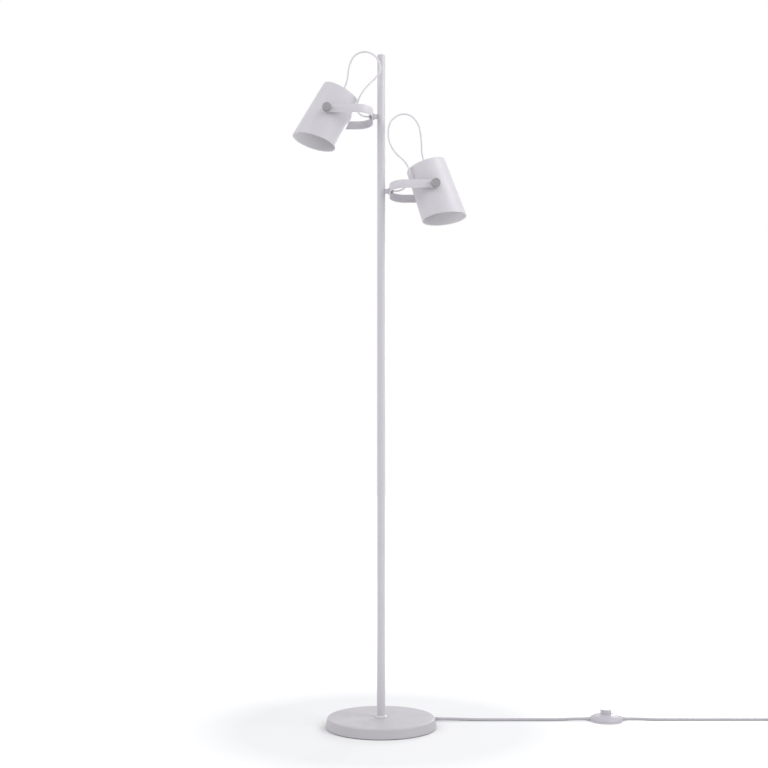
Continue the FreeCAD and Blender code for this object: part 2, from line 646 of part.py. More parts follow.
def loop_leads():
    """The slack lead of each head, from the gland on the shade to the bush in the stud.

    The points between are heights above the head's turning axis, chosen by hand."""
    exit_height = size("shade_rise") + size("gland_height")
    stud_end = (size("web_reach") + size("strip_thickness") + size("washer_thickness")
                + size("nut_thickness") + 2.5)
    routes = {
        "upper": [(-73.5, -4, 122), (-59, -11, 143.5), (-33.5, -18, 147.5), (-10, -23, 133),
                  (1, -25, 101), (-12.5, -25, 81), (-32, -25, 63), (-51, -26, 35), (-56, -17, 9)],
        "lower": [(91.5, -2, 124), (84.5, -6, 157), (64, -9, 176.5), (38.5, -12, 175), (18, -15, 154),
                  (14.5, -18, 118), (29, -22, 83), (56, -29, 59), (66, -32, 32), (60.5, -22, 8)],
    }
    for name, route in routes.items():
        middle = [(x, y, stud_height(name) + above) for x, y, above in route]
        shade = shade_frame(name)
        head = head_frame(name)
        start = [tuple(shade.multVec(Vector(0, 0, exit_height + step))) for step in (0, 17)]
        end = [tuple(head.multVec(Vector(stud_end + step, 0, 0))) for step in (15, 0)]
        cord(name + "_loop_lead", start + middle + end, size("loop_lead_radius"))


def inner_leads():
    """Leads inside the pole, from the terminal block to each stud, and the mains lead in the base."""
    radius = size("inner_lead_radius")
    spread = size("lead_spread")
    row = size("mains_row")
    level = size("pad_thickness") + radius + 0.2
    block_end = size("block_reach") - size("block_length") / 2
    rise = 4 * radius
    stud_stop = (size("web_reach") + size("strip_thickness") + size("washer_thickness")
                 + size("nut_thickness") + 1 - 5)
    shapes = []
    for name, side, out in (("upper", 1, -1), ("lower", -1, 1)):
        height = stud_height(name)
        y = side * spread
        low = [(block_end, row + 2 * y, level + 1), (block_end - 7, row + 2 * y, level + 1),
               (block_end * 0.6, row * 0.7 + y, level), (block_end * 0.3, row * 0.32 + y, level),
               (0, y, level), (0, y, level + rise)]
        high = [(0, y, level + rise), (0, y, height - 14), (out * 0.5, y * 0.6, height - 7),
                (out * 2.2, 0, height - 1.2), (out * 8, 0, height), (out * stud_stop, 0, height)]
        for points in (low, high):
            points = [Vector(*point) for point in points]
            wire, radii = route_wire(points)
            shapes.append(swept(wire, radius, points[0], points[1] - points[0]))
    item = doc.addObject("Part::Feature", "head_leads_piece")
    item.Shape = Part.makeCompound(shapes)
    keep(item, "head_leads")
    block = box("terminal_block_piece", "block_length", "block_width", "block_height",
                ("block_reach - block_length / 2", "mains_row - block_width / 2",
                 "pad_thickness + pocket_clearance"))
    keep(block, "terminal_block")
    inner = cylinder("mains_inner_piece", "mains_radius",
                     "base_radius - relief_depth - block_reach - block_length / 2",
                     "exit_height", "block_reach + block_length / 2")
    bind(inner, Placement__Base__y="mains_row")
    inner.Placement.Rotation = Rotation(Vector(0, 1, 0), 90)
    keep(inner, "mains_inner_lead")


def switch_pieces():
    """Round foot switch: base plate, domed cover with lead necks, push button, spring and contacts."""
    place = moved(size("switch_reach"), size("mains_row"), 0)
    radius = size("switch_radius")
    dome = size("switch_dome_height") - size("switch_base_height")
    sphere_radius = (radius * radius + dome * dome) / (2 * dome)
    plate = turned("switch_plate", [
        ("0", "0"), ("switch_radius - 1", "0"), ("switch_radius", "1"),
        ("switch_radius", "switch_base_height"),
        ("post_radius", "switch_base_height"), ("post_radius", "switch_base_height + post_height"),
        ("0", "switch_base_height + post_height"),
    ])
    holes = []
    screws = []
    for index in range(3):
        angle = math.radians(90 + 120 * index)
        spot_x = "switch_radius * 0.72 * %.6f" % math.cos(angle)
        spot_y = "switch_radius * 0.72 * %.6f" % math.sin(angle)
        hole = cylinder("switch_screw_hole_%d" % index, "screw_radius + 0.2", "switch_base_height * 3",
                        "-switch_base_height")
        screw = cylinder("switch_screw_%d" % index, "screw_radius", "switch_base_height + 2.5", "0.4")
        for item in (hole, screw):
            bind(item, Placement__Base__x=spot_x, Placement__Base__y=spot_y)
        holes.append(hole)
        screws.append(screw)
    keep(cut("switch_plate_piece", plate, fuse("switch_screw_holes", holes)), "switch_base", place)
    keep(fuse("switch_screw_set", screws), "switch_screws", place)

    shells = []
    for label, inset in (("outer", 0), ("inner", size("switch_wall"))):
        ball = doc.addObject("Part::Sphere", "dome_ball_" + label)
        ball.Radius = sphere_radius - inset
        ball.Placement = moved(0, 0, size("switch_dome_height") - sphere_radius)
        shells.append(ball)
    above = cylinder("dome_space", "switch_radius", "switch_dome_height", "switch_base_height + seat_gap")
    cap = doc.addObject("Part::MultiCommon", "dome_cap")
    cap.Shapes = [shells[0], above]
    necks = []
    for side, way in (("near", -1), ("far", 1)):
        neck = doc.addObject("Part::Cone", "switch_neck_" + side)
        bind(neck, Radius1="relief_radius", Radius2="mains_radius + 0.4", Height="neck_length + 6")
        neck.Placement = Placement(Vector(way * (radius - 6), 0, size("exit_height")),
                                   Rotation(Vector(0, 1, 0), way * 90))
        necks.append(neck)
    clear_base = cylinder("neck_trim", "switch_radius + seat_gap", "switch_base_height + 2 * seat_gap",
                          "-seat_gap")
    button_hole = cylinder("dome_button_hole", "button_radius + button_clearance", "button_top")
    body = fuse("switch_cover_blank", [cap] + necks)
    hollow = doc.addObject("Part::MultiCommon", "dome_hollow")
    inside = cylinder("dome_hollow_space", "switch_radius - switch_wall", "switch_dome_height")
    hollow.Shapes = [shells[1], inside]
    keep(cut("switch_cover_piece", body, fuse("switch_cover_tools", [hollow, clear_base, button_hole])),
         "switch_cover", place)

    under = "switch_base_height + post_height + button_travel + 0.5"
    button = turned("switch_button_piece", [
        ("0", under), ("button_radius", under), ("button_radius", "button_top"), ("0", "button_top"),
    ])
    round_ring(button, size("button_radius"), size("button_top"), "button_clearance * 4")
    keep(button, "switch_button", place)

    item = doc.addObject("Part::Feature", "switch_spring_piece")
    item.Shape = swept(wound_wire(spring_point, spring_way, size("spring_turns")), size("spring_wire"),
                       spring_point(0), spring_way(0))
    keep(item, "switch_spring", place)

    contacts = []
    for index, way in enumerate((-1, 1)):
        contacts.append(plain_box("switch_contact_%d" % index, 6, 9, 5,
                                  moved(way * 20 - 3, -4.5, size("switch_base_height"))))
    keep(fuse("switch_contact_pair", contacts), "switch_contacts", place)


def biarc(start, start_way, end, end_way):
    """Two tangent arcs from one point and heading to another."""
    span = end - start
    both = start_way + end_way
    turn = 2 * (1 - start_way.dot(end_way))
    along = span.dot(both)
    reach = (math.sqrt(along * along + turn * span.dot(span)) - along) / turn
    joint = (start + end + (start_way - end_way) * reach) * 0.5
    return [bent(start, start_way, joint), bent(end, end_way * -1, joint, True)]


def bent(start, way, end, back=False):
    """The arc that leaves a point along a heading and ends at another point."""
    chord = end - start
    across = way - chord * (way.dot(chord) / chord.dot(chord))
    half = way.getAngle(chord)
    middle = (start + end) * 0.5 + across.normalize() * (chord.Length / 2 * math.tan(half / 2))
    if back:
        return Part.Arc(end, middle, start).toShape()
    return Part.Arc(start, middle, end).toShape()


def wound_wire(point, way, turns):
    """A wound centre line as biarcs in quarter turns, from its point and heading at a number of turns."""
    stops = [index / 4 for index in range(int(round(turns * 4)) + 1)]
    edges = []
    for before, after in zip(stops, stops[1:]):
        edges += biarc(point(before), way(before), point(after), way(after))
    return Part.Wire(edges)


def spring_point(turn):
    """Centre line of the button's spring, from the switch's base plate up to the button."""
    low = size("switch_base_height") + size("spring_wire") + size("seat_gap")
    high = size("switch_base_height") + size("post_height") + size("button_travel") + 0.5
    climb = high - size("spring_wire") - size("seat_gap") - low
    angle = 2 * math.pi * turn
    radius = size("spring_radius")
    height = low + climb * turn / size("spring_turns")
    return Vector(radius * math.cos(angle), radius * math.sin(angle), height)


def spring_way(turn, step=0.002):
    """Unit heading of the spring's centre line."""
    before = spring_point(turn - step)
    after = spring_point(turn + step)
    return (after - before).normalize()


def coil_point(turn):
    """Centre line of the coil at a number of turns: spiral in, climb, spiral out, clockwise from +Y."""
    middle = size("coil_turns") / 2
    pitch = size("coil_pitch")
    radius = size("coil_radius") - pitch * (middle - abs(turn - middle))
    climb = min(max((turn - middle + 0.25) / 0.5, 0), 1)
    height = size("mains_radius") + size("tie_thickness") + 0.2 + pitch * climb * climb * (3 - 2 * climb)
    angle = math.radians(90 - 360 * turn)
    centre = Vector(size("coil_reach"), size("mains_row") - size("coil_radius"), 0)
    return centre + Vector(radius * math.cos(angle), radius * math.sin(angle), height)


def coil_way(turn, step=0.002):
    """Unit heading of the coil's centre line."""
    last = size("coil_turns")
    before = coil_point(max(turn - step, 0))
    after = coil_point(min(turn + step, last))
    way = (after - before).normalize()
    if turn in (0, last):
        way = Vector(round(way.x), round(way.y), 0)
    return way


def coil_piece():
    """The put-away length, one unbroken tube of biarcs in quarter turns, its tie, tail and plug."""
    radius = size("mains_radius")
    last = size("coil_turns")
    wire = wound_wire(coil_point, coil_way, last)
    tube = swept(wire, radius, coil_point(0), coil_way(0))
    spots = [edge.valueAt(edge.FirstParameter + (edge.LastParameter - edge.FirstParameter) * share / 8)
             for edge in wire.Edges for share in range(8)]
    spacing = wire.Length / len(spots)
    skip = int(4 * radius / spacing) + 2
    nearest = min((one - other).Length for index, one in enumerate(spots) for other in spots[index + skip:])
    gap = nearest - 2 * radius
    print("coil: length %.0f, least radius %.1f, least gap to itself %.2f, volume ratio %.4f"
          % (wire.Length, min(edge.Curve.Radius for edge in wire.Edges), gap,
             tube.Volume / (math.pi * radius * radius * wire.Length)))
    item = doc.addObject("Part::Feature", "mains_coil")
    item.Shape = tube
    keep(item, "mains_coil")

    band = size("tie_thickness")
    inner_reach = size("coil_radius") - size("coil_pitch") * last / 2 - radius - 1
    outer_reach = size("coil_radius") + radius + 1
    height = 2 * radius + size("coil_pitch") + 0.8
    corner = Vector(size("coil_reach") - outer_reach - band,
                    size("mains_row") - size("coil_radius") - size("tie_width") / 2, 0.05)
    outer = plain_box("tie_outer", outer_reach - inner_reach + 2 * band, size("tie_width"), height + 2 * band,
                      moved(*corner))
    inner = plain_box("tie_inner", outer_reach - inner_reach, 3 * size("tie_width"), height,
                      moved(*(corner + Vector(band, -size("tie_width"), band))))
    keep(cut("coil_tie_piece", outer, inner), "coil_tie")

    end = coil_point(last)
    plug_level = size("plug_thickness") / 2 + 0.05
    plug_start = end.y - 62
    cord("mains_tail", [tuple(end), (end.x, end.y - 14, end.z), (end.x + 1.5, end.y - 34, plug_level + 1.2),
                        (end.x + 1, end.y - 50, plug_level), (end.x + 1, plug_start, plug_level)], radius)
    back = Placement(Vector(end.x + 1, plug_start, plug_level), Rotation(Vector(1, 0, 0), 90))
    blank = turned("plug_neck", [
        ("0", "0"), ("mains_radius + 0.8", "0"), ("mains_radius + 2.5", "16"), ("0", "16"),
    ])
    grip = box("plug_grip", "plug_width", "plug_thickness", "plug_length - 10",
               ("-plug_width / 2", "-plug_thickness / 2", "10"))
    doc.recompute()
    fillet = doc.addObject("Part::Fillet", "plug_grip_round")
    fillet.Base = grip
    rounding = size("plug_thickness") * 0.3
    fillet.Edges = [(index, rounding, rounding) for index, edge in enumerate(grip.Shape.Edges, start=1)
                    if abs(edge.Vertexes[0].Z - edge.Vertexes[1].Z) > 1]
    keep(fuse("plug_body_piece", [blank, fillet]), "plug_body", back)
    pins = []
    for side in (-1, 1):
        pins.append(cylinder("plug_pin_%d" % (side + 1), "pin_radius", "pin_length", "plug_length",
                             "pin_spacing / 2 * %d" % side))
    keep(fuse("plug_pin_pair", pins), "plug_pins", back)


def mains_lead():
    """Strain relief at the base and the lead to the switch and on to the coil."""
    row = size("mains_row")
    level = size("exit_height")
    floor = size("mains_radius") + 0.05
    relief_start = size("base_radius") - size("relief_depth")
    relief_end = relief_start + size("relief_length")
    keep(turned("strain_relief_piece", [
        ("0", "0"), ("relief_radius", "0"), ("relief_radius", "relief_length * 0.35"),
        ("mains_radius + 0.35", "relief_length"), ("0", "relief_length"),
    ]), "strain_relief", Placement(Vector(relief_start, row, level), Rotation(Vector(0, 1, 0), 90)))
    near = size("switch_reach") - size("switch_radius") - size("neck_length")
    far = size("switch_reach") + size("switch_radius") + size("neck_length")
    coil_start = coil_point(0)
    cord("mains_lead_near", [
        (relief_end, row, level), (relief_end + 28, row, level), (relief_end + 68, row + 0.4, floor + 0.1),
        (250, row - 0.3, floor), (306, row + 0.3, floor), (356, row - 0.3, floor),
        (396, row + 0.1, floor), (near - 24, row, level), (near, row, level)], size("mains_radius"))
    cord("mains_lead_far", [
        (far, row, level), (far + 26, row, level), (far + 62, row - 0.4, floor), (660, row + 0.5, floor),
        (715, row - 0.5, floor), (770, row + 0.3, floor), (818, row - 0.2, floor),
        (coil_start.x - 42, row, floor + 0.1), (coil_start.x - 16, coil_start.y, coil_start.z),
        tuple(coil_start)], size("mains_radius"))


base_pieces()
pole_pieces()
for head in ("upper", "lower"):
    stud_pieces(head)
    yoke_piece(head)
    shade_piece(head)
    pivot_pieces(head)
    lamp_pieces(head)
loop_leads()
inner_leads()
mains_lead()
switch_pieces()
coil_piece()
doc.recompute()

faults = [item.Label for item in doc.Objects if {"Invalid", "Error"} & set(item.State)]
faults += [item.Label for item in NODES if item.Shape.isNull() or not item.Shape.isValid()]
if faults:
    raise RuntimeError("failed pieces: " + ", ".join(faults))
os.makedirs("parts", exist_ok=True)
for item in NODES:
    item.Shape.exportStep("parts/%s.step" % item.Label)
print("%d sub-parts, %d solids" % (len(NODES), sum(len(item.Shape.Solids) for item in NODES)))
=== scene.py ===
# %% [markdown]
# # A slim floor lamp with two spot heads
#
# The lamp stands on a weighted round base. A thin tube carries two conical shades, each held in a
# U-shaped steel strip. Loose leads loop from the shades to the tube, and a mains lead runs away to
# the right through a round foot switch.
#
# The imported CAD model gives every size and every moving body. Here each visible piece gets its
# final surface and its finish. All numbers are metres, in the CAD frame: the origin is on the
# floor under the tube, +Z is up and -Y points at the viewer.

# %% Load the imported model
import bmesh
import bpy
import json
import math
import numpy as np
from mathutils import Matrix, Vector

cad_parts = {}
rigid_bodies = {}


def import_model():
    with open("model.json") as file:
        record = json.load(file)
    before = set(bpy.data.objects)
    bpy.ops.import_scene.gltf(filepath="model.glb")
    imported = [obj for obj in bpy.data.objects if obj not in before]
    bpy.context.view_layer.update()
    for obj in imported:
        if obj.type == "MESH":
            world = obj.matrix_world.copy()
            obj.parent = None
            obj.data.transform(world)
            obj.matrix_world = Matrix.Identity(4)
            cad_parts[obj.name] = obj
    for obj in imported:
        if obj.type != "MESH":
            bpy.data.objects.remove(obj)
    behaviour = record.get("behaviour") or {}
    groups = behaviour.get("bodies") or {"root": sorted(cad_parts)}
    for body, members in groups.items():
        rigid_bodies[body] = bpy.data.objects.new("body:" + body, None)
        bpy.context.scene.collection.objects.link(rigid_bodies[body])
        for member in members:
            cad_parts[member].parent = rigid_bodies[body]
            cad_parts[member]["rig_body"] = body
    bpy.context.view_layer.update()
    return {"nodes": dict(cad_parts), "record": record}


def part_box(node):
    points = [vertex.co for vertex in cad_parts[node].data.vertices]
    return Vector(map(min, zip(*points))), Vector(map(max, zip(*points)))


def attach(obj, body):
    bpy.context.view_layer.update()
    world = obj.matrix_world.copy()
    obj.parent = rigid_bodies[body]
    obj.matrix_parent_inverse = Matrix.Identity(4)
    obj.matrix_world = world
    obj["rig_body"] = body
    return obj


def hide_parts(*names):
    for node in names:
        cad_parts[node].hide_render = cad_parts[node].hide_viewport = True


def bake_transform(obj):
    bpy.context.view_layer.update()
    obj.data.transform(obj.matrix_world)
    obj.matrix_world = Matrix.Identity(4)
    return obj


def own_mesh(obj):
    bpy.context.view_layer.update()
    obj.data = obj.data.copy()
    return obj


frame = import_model()
slot_of = {row["node"]: row["material_slot"] for row in frame["record"]["subparts"]}
MM = 0.001


def new_thing(name, data):
    """An object in the scene that holds a mesh, curve, lamp or camera."""
    thing = bpy.data.objects.new(name, data)
    bpy.context.scene.collection.objects.link(thing)
    return thing


# %% [markdown]
# ## The camera
#
# The photograph is taken from about 2.4 m away and half a metre above the floor, with the camera
# tilted a little upwards. That is why the ground shows as a thin ellipse under the base while the
# shades are seen from below. A 50 mm lens on a 36 mm frame gives the same view. The mains lead
# runs on past the right edge, so its put-away length lies outside the view.

# %% Camera
SENSOR_WIDTH = 36.0         # mm
FOCAL_LENGTH = 49.97        # mm
TILTED_UP = 5.06            # degrees
camera_data = bpy.data.cameras.new("photo_camera")
camera_data.lens = FOCAL_LENGTH
camera_data.sensor_width = SENSOR_WIDTH
camera_data.clip_end = 40.0
camera = new_thing("photo_camera", camera_data)
camera.location = (0.0063, -2.364, 0.536)
camera.rotation_euler = (math.radians(90 + TILTED_UP), 0, 0)
bpy.context.scene.camera = camera
bpy.context.scene.view_settings.view_transform = "Standard"
field = math.degrees(2 * math.atan(SENSOR_WIDTH / 2 / FOCAL_LENGTH))
print("camera field of view", round(field, 1), "degrees")

# %% [markdown]
# ## Shared shader groups
#
# Nearly everything on this lamp is one pale colour, so the finish has to show in small things: the
# faint ripple of sprayed powder paint, the softer skin of moulded plastic, a little dust on the
# faces that look up, and rubbed patches where hands or feet touch. Each effect is used by several
# materials, so each one is a node group with named inputs, built once.

# %% A helper that starts a node group
def new_group(name, inputs, outputs):
    """An empty shader group with float or vector sockets: inputs are (name, kind, value)."""
    group = bpy.data.node_groups.new(name, "ShaderNodeTree")
    for label, kind, value in inputs:
        socket = group.interface.new_socket(label, in_out="INPUT", socket_type=kind)
        if value is not None:
            socket.default_value = value
    for label, kind in outputs:
        group.interface.new_socket(label, in_out="OUTPUT", socket_type=kind)
    return group, group.nodes.new("NodeGroupInput"), group.nodes.new("NodeGroupOutput")


def math_node(tree, operation, first, second=None, clamp=False):
    """A Math node; each operand is a number or an output socket."""
    node = tree.nodes.new("ShaderNodeMath")
    node.operation = operation
    node.use_clamp = clamp
    for index, value in enumerate((first, second)):
        if value is None:
            continue
        if isinstance(value, (int, float)):
            node.inputs[index].default_value = value
        else:
            tree.links.new(value, node.inputs[index])
    return node.outputs[0]


def noise_node(tree, vector, scale, detail=2.0, roughness=0.5, distortion=0.0):
    """A Noise texture on a vector; the scale is a number or a socket."""
    node = tree.nodes.new("ShaderNodeTexNoise")
    tree.links.new(vector, node.inputs["Vector"])
    if isinstance(scale, (int, float)):
        node.inputs["Scale"].default_value = scale
    else:
        tree.links.new(scale, node.inputs["Scale"])
    node.inputs["Detail"].default_value = detail
    node.inputs["Roughness"].default_value = roughness
    node.inputs["Distortion"].default_value = distortion
    return node.outputs[0]


def ramp_between(tree, value, low, high, out_low=0.0, out_high=1.0):
    """A Map Range node from low..high to out_low..out_high."""
    node = tree.nodes.new("ShaderNodeMapRange")
    tree.links.new(value, node.inputs["Value"])
    node.inputs["From Min"].default_value = low
    node.inputs["From Max"].default_value = high
    node.inputs["To Min"].default_value = out_low
    node.inputs["To Max"].default_value = out_high
    return node.outputs[0]


# %% Sprayed skin: the ripple and fine grain of powder paint
sprayed_skin, enter, leave = new_group(
    "sprayed_skin",
    [("Vector", "NodeSocketVector", None), ("Ripple Scale", "NodeSocketFloat", 260.0),
     ("Grain Scale", "NodeSocketFloat", 1500.0), ("Ripple Share", "NodeSocketFloat", 0.6)],
    [("Height", "NodeSocketFloat"), ("Mottle", "NodeSocketFloat")])
ripple = noise_node(sprayed_skin, enter.outputs["Vector"], enter.outputs["Ripple Scale"], 1.0, 0.4)
grain = noise_node(sprayed_skin, enter.outputs["Vector"], enter.outputs["Grain Scale"], 2.0, 0.6)
rippled = math_node(sprayed_skin, "MULTIPLY", ripple, enter.outputs["Ripple Share"])
grained = math_node(sprayed_skin, "MULTIPLY", grain,
                    math_node(sprayed_skin, "SUBTRACT", 1.0, enter.outputs["Ripple Share"]))
sprayed_skin.links.new(math_node(sprayed_skin, "ADD", rippled, grained), leave.inputs["Height"])
broad = noise_node(sprayed_skin, enter.outputs["Vector"], 9.0, 3.0, 0.55)
sprayed_skin.links.new(ramp_between(sprayed_skin, broad, 0.3, 0.7), leave.inputs["Mottle"])
print("group sprayed_skin")

# %% Settled dust: a patchy veil on faces that look up
settled_dust, enter, leave = new_group(
    "settled_dust",
    [("Vector", "NodeSocketVector", None), ("Amount", "NodeSocketFloat", 0.3)],
    [("Veil", "NodeSocketFloat")])
facing = settled_dust.nodes.new("ShaderNodeNewGeometry")
parts = settled_dust.nodes.new("ShaderNodeSeparateXYZ")
settled_dust.links.new(facing.outputs["Normal"], parts.inputs[0])
upward = ramp_between(settled_dust, parts.outputs["Z"], 0.55, 0.98)
patches = ramp_between(settled_dust, noise_node(settled_dust, enter.outputs["Vector"], 34.0, 5.0, 0.65),
                       0.38, 0.72)
veil = math_node(settled_dust, "MULTIPLY", upward, patches)
settled_dust.links.new(math_node(settled_dust, "MULTIPLY", veil, enter.outputs["Amount"], True),
                       leave.inputs["Veil"])
print("group settled_dust")

# %% Handling rubs: soft smears and short scratches that change the gloss
handling_rubs, enter, leave = new_group(
    "handling_rubs",
    [("Vector", "NodeSocketVector", None), ("Smear Scale", "NodeSocketFloat", 40.0),
     ("Scratch Scale", "NodeSocketFloat", 700.0)],
    [("Rub", "NodeSocketFloat"), ("Scratch", "NodeSocketFloat")])
smear = noise_node(handling_rubs, enter.outputs["Vector"], enter.outputs["Smear Scale"], 3.0, 0.6, 0.8)
handling_rubs.links.new(ramp_between(handling_rubs, smear, 0.35, 0.68), leave.inputs["Rub"])
stretch = handling_rubs.nodes.new("ShaderNodeMapping")
stretch.inputs["Rotation"].default_value = (0.3, 0.9, 0.5)
stretch.inputs["Scale"].default_value = (1.0, 0.06, 1.0)
handling_rubs.links.new(enter.outputs["Vector"], stretch.inputs["Vector"])
fine = noise_node(handling_rubs, stretch.outputs["Vector"], enter.outputs["Scratch Scale"], 2.0, 0.7)
handling_rubs.links.new(ramp_between(handling_rubs, fine, 0.62, 0.74), leave.inputs["Scratch"])
print("group handling_rubs")

# %% [markdown]
# ## The finishes
#
# Under the plain light of this scene a colour renders about as it is written, so the paints are
# mixed from the photograph: a white with a trace of grey and violet. Values that don't
# change over a surface sit on the shader's own sockets, and only what varies is linked.

# %% A helper that starts a finish, and one that mixes two colours
def tone(red, green, blue):
    """A linear colour from the everyday 0 to 255 screen values."""
    screen = np.array([red, green, blue]) / 255.0
    linear = np.where(screen <= 0.04045, screen / 12.92, ((screen + 0.055) / 1.055) ** 2.4)
    return (*linear.tolist(), 1.0)


def start_finish(name, **constants):
    """A material with its Principled shader, Object coordinates and plain values on the shader."""
    material = bpy.data.materials.new(name)
    material.use_nodes = True
    tree = material.node_tree
    shader = tree.nodes["Principled BSDF"]
    for socket, value in constants.items():
        shader.inputs[socket.replace("_", " ")].default_value = value
    place = tree.nodes.new("ShaderNodeTexCoord").outputs["Object"]
    return material, tree, shader, place


def use_group(tree, group, vector, **values):
    """Place a shared group in a finish with its own values."""
    node = tree.nodes.new("ShaderNodeGroup")
    node.node_tree = group
    tree.links.new(vector, node.inputs["Vector"])
    for socket, value in values.items():
        node.inputs[socket.replace("_", " ")].default_value = value
    return node.outputs


def blend_tones(tree, share, first, second):
    """Mix two colours, each a tuple or a socket, by a share."""
    node = tree.nodes.new("ShaderNodeMix")
    node.data_type = "RGBA"
    tree.links.new(share, node.inputs["Factor"])
    for socket, value in ((node.inputs[6], first), (node.inputs[7], second)):
        if isinstance(value, tuple):
            socket.default_value = value
        else:
            tree.links.new(value, socket)
    return node.outputs[2]


def raise_bumps(tree, shader, height, depth):
    """Turn a height into a normal; the depth is in metres."""
    bump = tree.nodes.new("ShaderNodeBump")
    bump.inputs["Strength"].default_value = 1.0
    bump.inputs["Distance"].default_value = depth
    tree.links.new(height, bump.inputs["Height"])
    tree.links.new(bump.outputs["Normal"], shader.inputs["Normal"])


# %% Powder-coated steel: tube, base, strips and shades
def powder_coat(name, paint, shaded, dust, amount):
    """Satin sprayed paint: rippled skin, faint mottle, dust on top, gloss broken by handling."""
    material, tree, shader, place = start_finish(name)
    skin = use_group(tree, sprayed_skin, place, Ripple_Scale=330.0, Grain_Scale=1900.0)
    rubs = use_group(tree, handling_rubs, place, Smear_Scale=22.0)
    veil = use_group(tree, settled_dust, place, Amount=amount)
    colour = blend_tones(tree, skin["Mottle"], paint, shaded)
    tree.links.new(blend_tones(tree, veil["Veil"], colour, dust), shader.inputs["Base Color"])
    gloss = ramp_between(tree, rubs["Rub"], 0.0, 1.0, 0.36, 0.50)
    tree.links.new(math_node(tree, "ADD", gloss, math_node(tree, "MULTIPLY", veil["Veil"], 0.4), True),
                   shader.inputs["Roughness"])
    raise_bumps(tree, shader, skin["Height"], 0.00006)
    return material


shade_paint = powder_coat(
    "shade_paint", tone(212, 209, 214), tone(208, 205, 211), tone(196, 193, 192), 0.2)
# A lighter copy of the shade paint for the shades' inside: painted light that stands in for light bounced
# into the shades.
painted_light_lining = powder_coat(
    "painted_light_lining", tone(240, 238, 241), tone(235, 233, 237), tone(225, 223, 222), 0.1)
tube_paint = powder_coat(
    "tube_paint", tone(209, 206, 211), tone(204, 201, 207), tone(194, 191, 191), 0.2)
# A darker copy of the white paint for the base cover: painted shade for the darker look of the base near the
# floor.
shaded_base_paint = powder_coat(
    "shaded_base_paint", tone(190, 187, 192), tone(186, 183, 188), tone(180, 177, 177), 0.2)
print("powder coats", shade_paint.name, tube_paint.name, shaded_base_paint.name)

# %% Moulded plastic: caps, glands, switch, plug and the grey knobs
def moulded_plastic(name, body, shaded, rough_low, rough_high, depth, wear=None):
    """Fine eroded skin from the mould, with smears in the gloss and optional paler rubbed specks."""
    material, tree, shader, place = start_finish(name)
    skin = use_group(tree, sprayed_skin, place, Ripple_Scale=900.0, Grain_Scale=3600.0, Ripple_Share=0.35)
    rubs = use_group(tree, handling_rubs, place, Smear_Scale=60.0)
    colour = blend_tones(tree, skin["Mottle"], body, shaded)
    if wear is not None:
        colour = blend_tones(tree, rubs["Scratch"], colour, wear)
    tree.links.new(colour, shader.inputs["Base Color"])
    tree.links.new(ramp_between(tree, rubs["Rub"], 0.0, 1.0, rough_low, rough_high),
                   shader.inputs["Roughness"])
    raise_bumps(tree, shader, skin["Height"], depth)
    return material


white_moulding = moulded_plastic(
    "white_moulding", tone(208, 205, 210), tone(202, 199, 204), 0.38, 0.5, 3e-5)
switch_moulding = moulded_plastic(
    "switch_moulding", tone(192, 188, 196), tone(186, 182, 190), 0.34, 0.46, 4e-5, tone(208, 205, 210))
button_moulding = moulded_plastic(
    "button_moulding", tone(198, 195, 201), tone(193, 190, 196), 0.26, 0.42, 2e-5, tone(182, 179, 183))
knob_moulding = moulded_plastic(
    "knob_moulding", tone(158, 156, 158), tone(150, 148, 151), 0.42, 0.56, 5e-5, tone(171, 169, 171))
tie_moulding = moulded_plastic(
    "tie_moulding", tone(58, 58, 60), tone(50, 50, 52), 0.4, 0.55, 3e-5, tone(84, 84, 86))
print("mouldings", white_moulding.name, switch_moulding.name, button_moulding.name, knob_moulding.name)

# %% Lead jackets: soft extruded plastic with faint long streaks
def lead_jacket(name, body, streaked, depth):
    """Extruded jacket: patchy gloss, slight waviness and a few scuffs."""
    material, tree, shader, place = start_finish(name, IOR=1.48)
    skin = use_group(tree, sprayed_skin, place, Ripple_Scale=420.0, Grain_Scale=2600.0, Ripple_Share=0.75)
    rubs = use_group(tree, handling_rubs, place, Smear_Scale=110.0, Scratch_Scale=1200.0)
    colour = blend_tones(tree, skin["Mottle"], body, streaked)
    tree.links.new(blend_tones(tree, rubs["Scratch"], colour, streaked), shader.inputs["Base Color"])
    tree.links.new(ramp_between(tree, rubs["Rub"], 0.0, 1.0, 0.34, 0.52), shader.inputs["Roughness"])
    raise_bumps(tree, shader, skin["Height"], depth)
    return material


loop_jacket = lead_jacket("loop_jacket", tone(226, 223, 226), tone(218, 215, 219), 4e-5)
mains_jacket = lead_jacket("mains_jacket", tone(190, 187, 192), tone(182, 179, 185), 5e-5)
print("jackets", loop_jacket.name, mains_jacket.name)

# %% Plated metal: nuts, washers, studs, pins, screws and springs
def plated_metal(name, bright, dull, rough_low, rough_high, metal=1.0):
    """Thin plating: drawn scratches, cloudy dull patches and uneven gloss."""
    material, tree, shader, place = start_finish(name, Metallic=metal)
    rubs = use_group(tree, handling_rubs, place, Smear_Scale=180.0, Scratch_Scale=1600.0)
    tree.links.new(blend_tones(tree, rubs["Rub"], bright, dull), shader.inputs["Base Color"])
    worn = math_node(tree, "MAXIMUM", rubs["Rub"], rubs["Scratch"])
    tree.links.new(ramp_between(tree, worn, 0.0, 1.0, rough_low, rough_high), shader.inputs["Roughness"])
    raise_bumps(tree, shader, rubs["Scratch"], 1.5e-5)
    return material


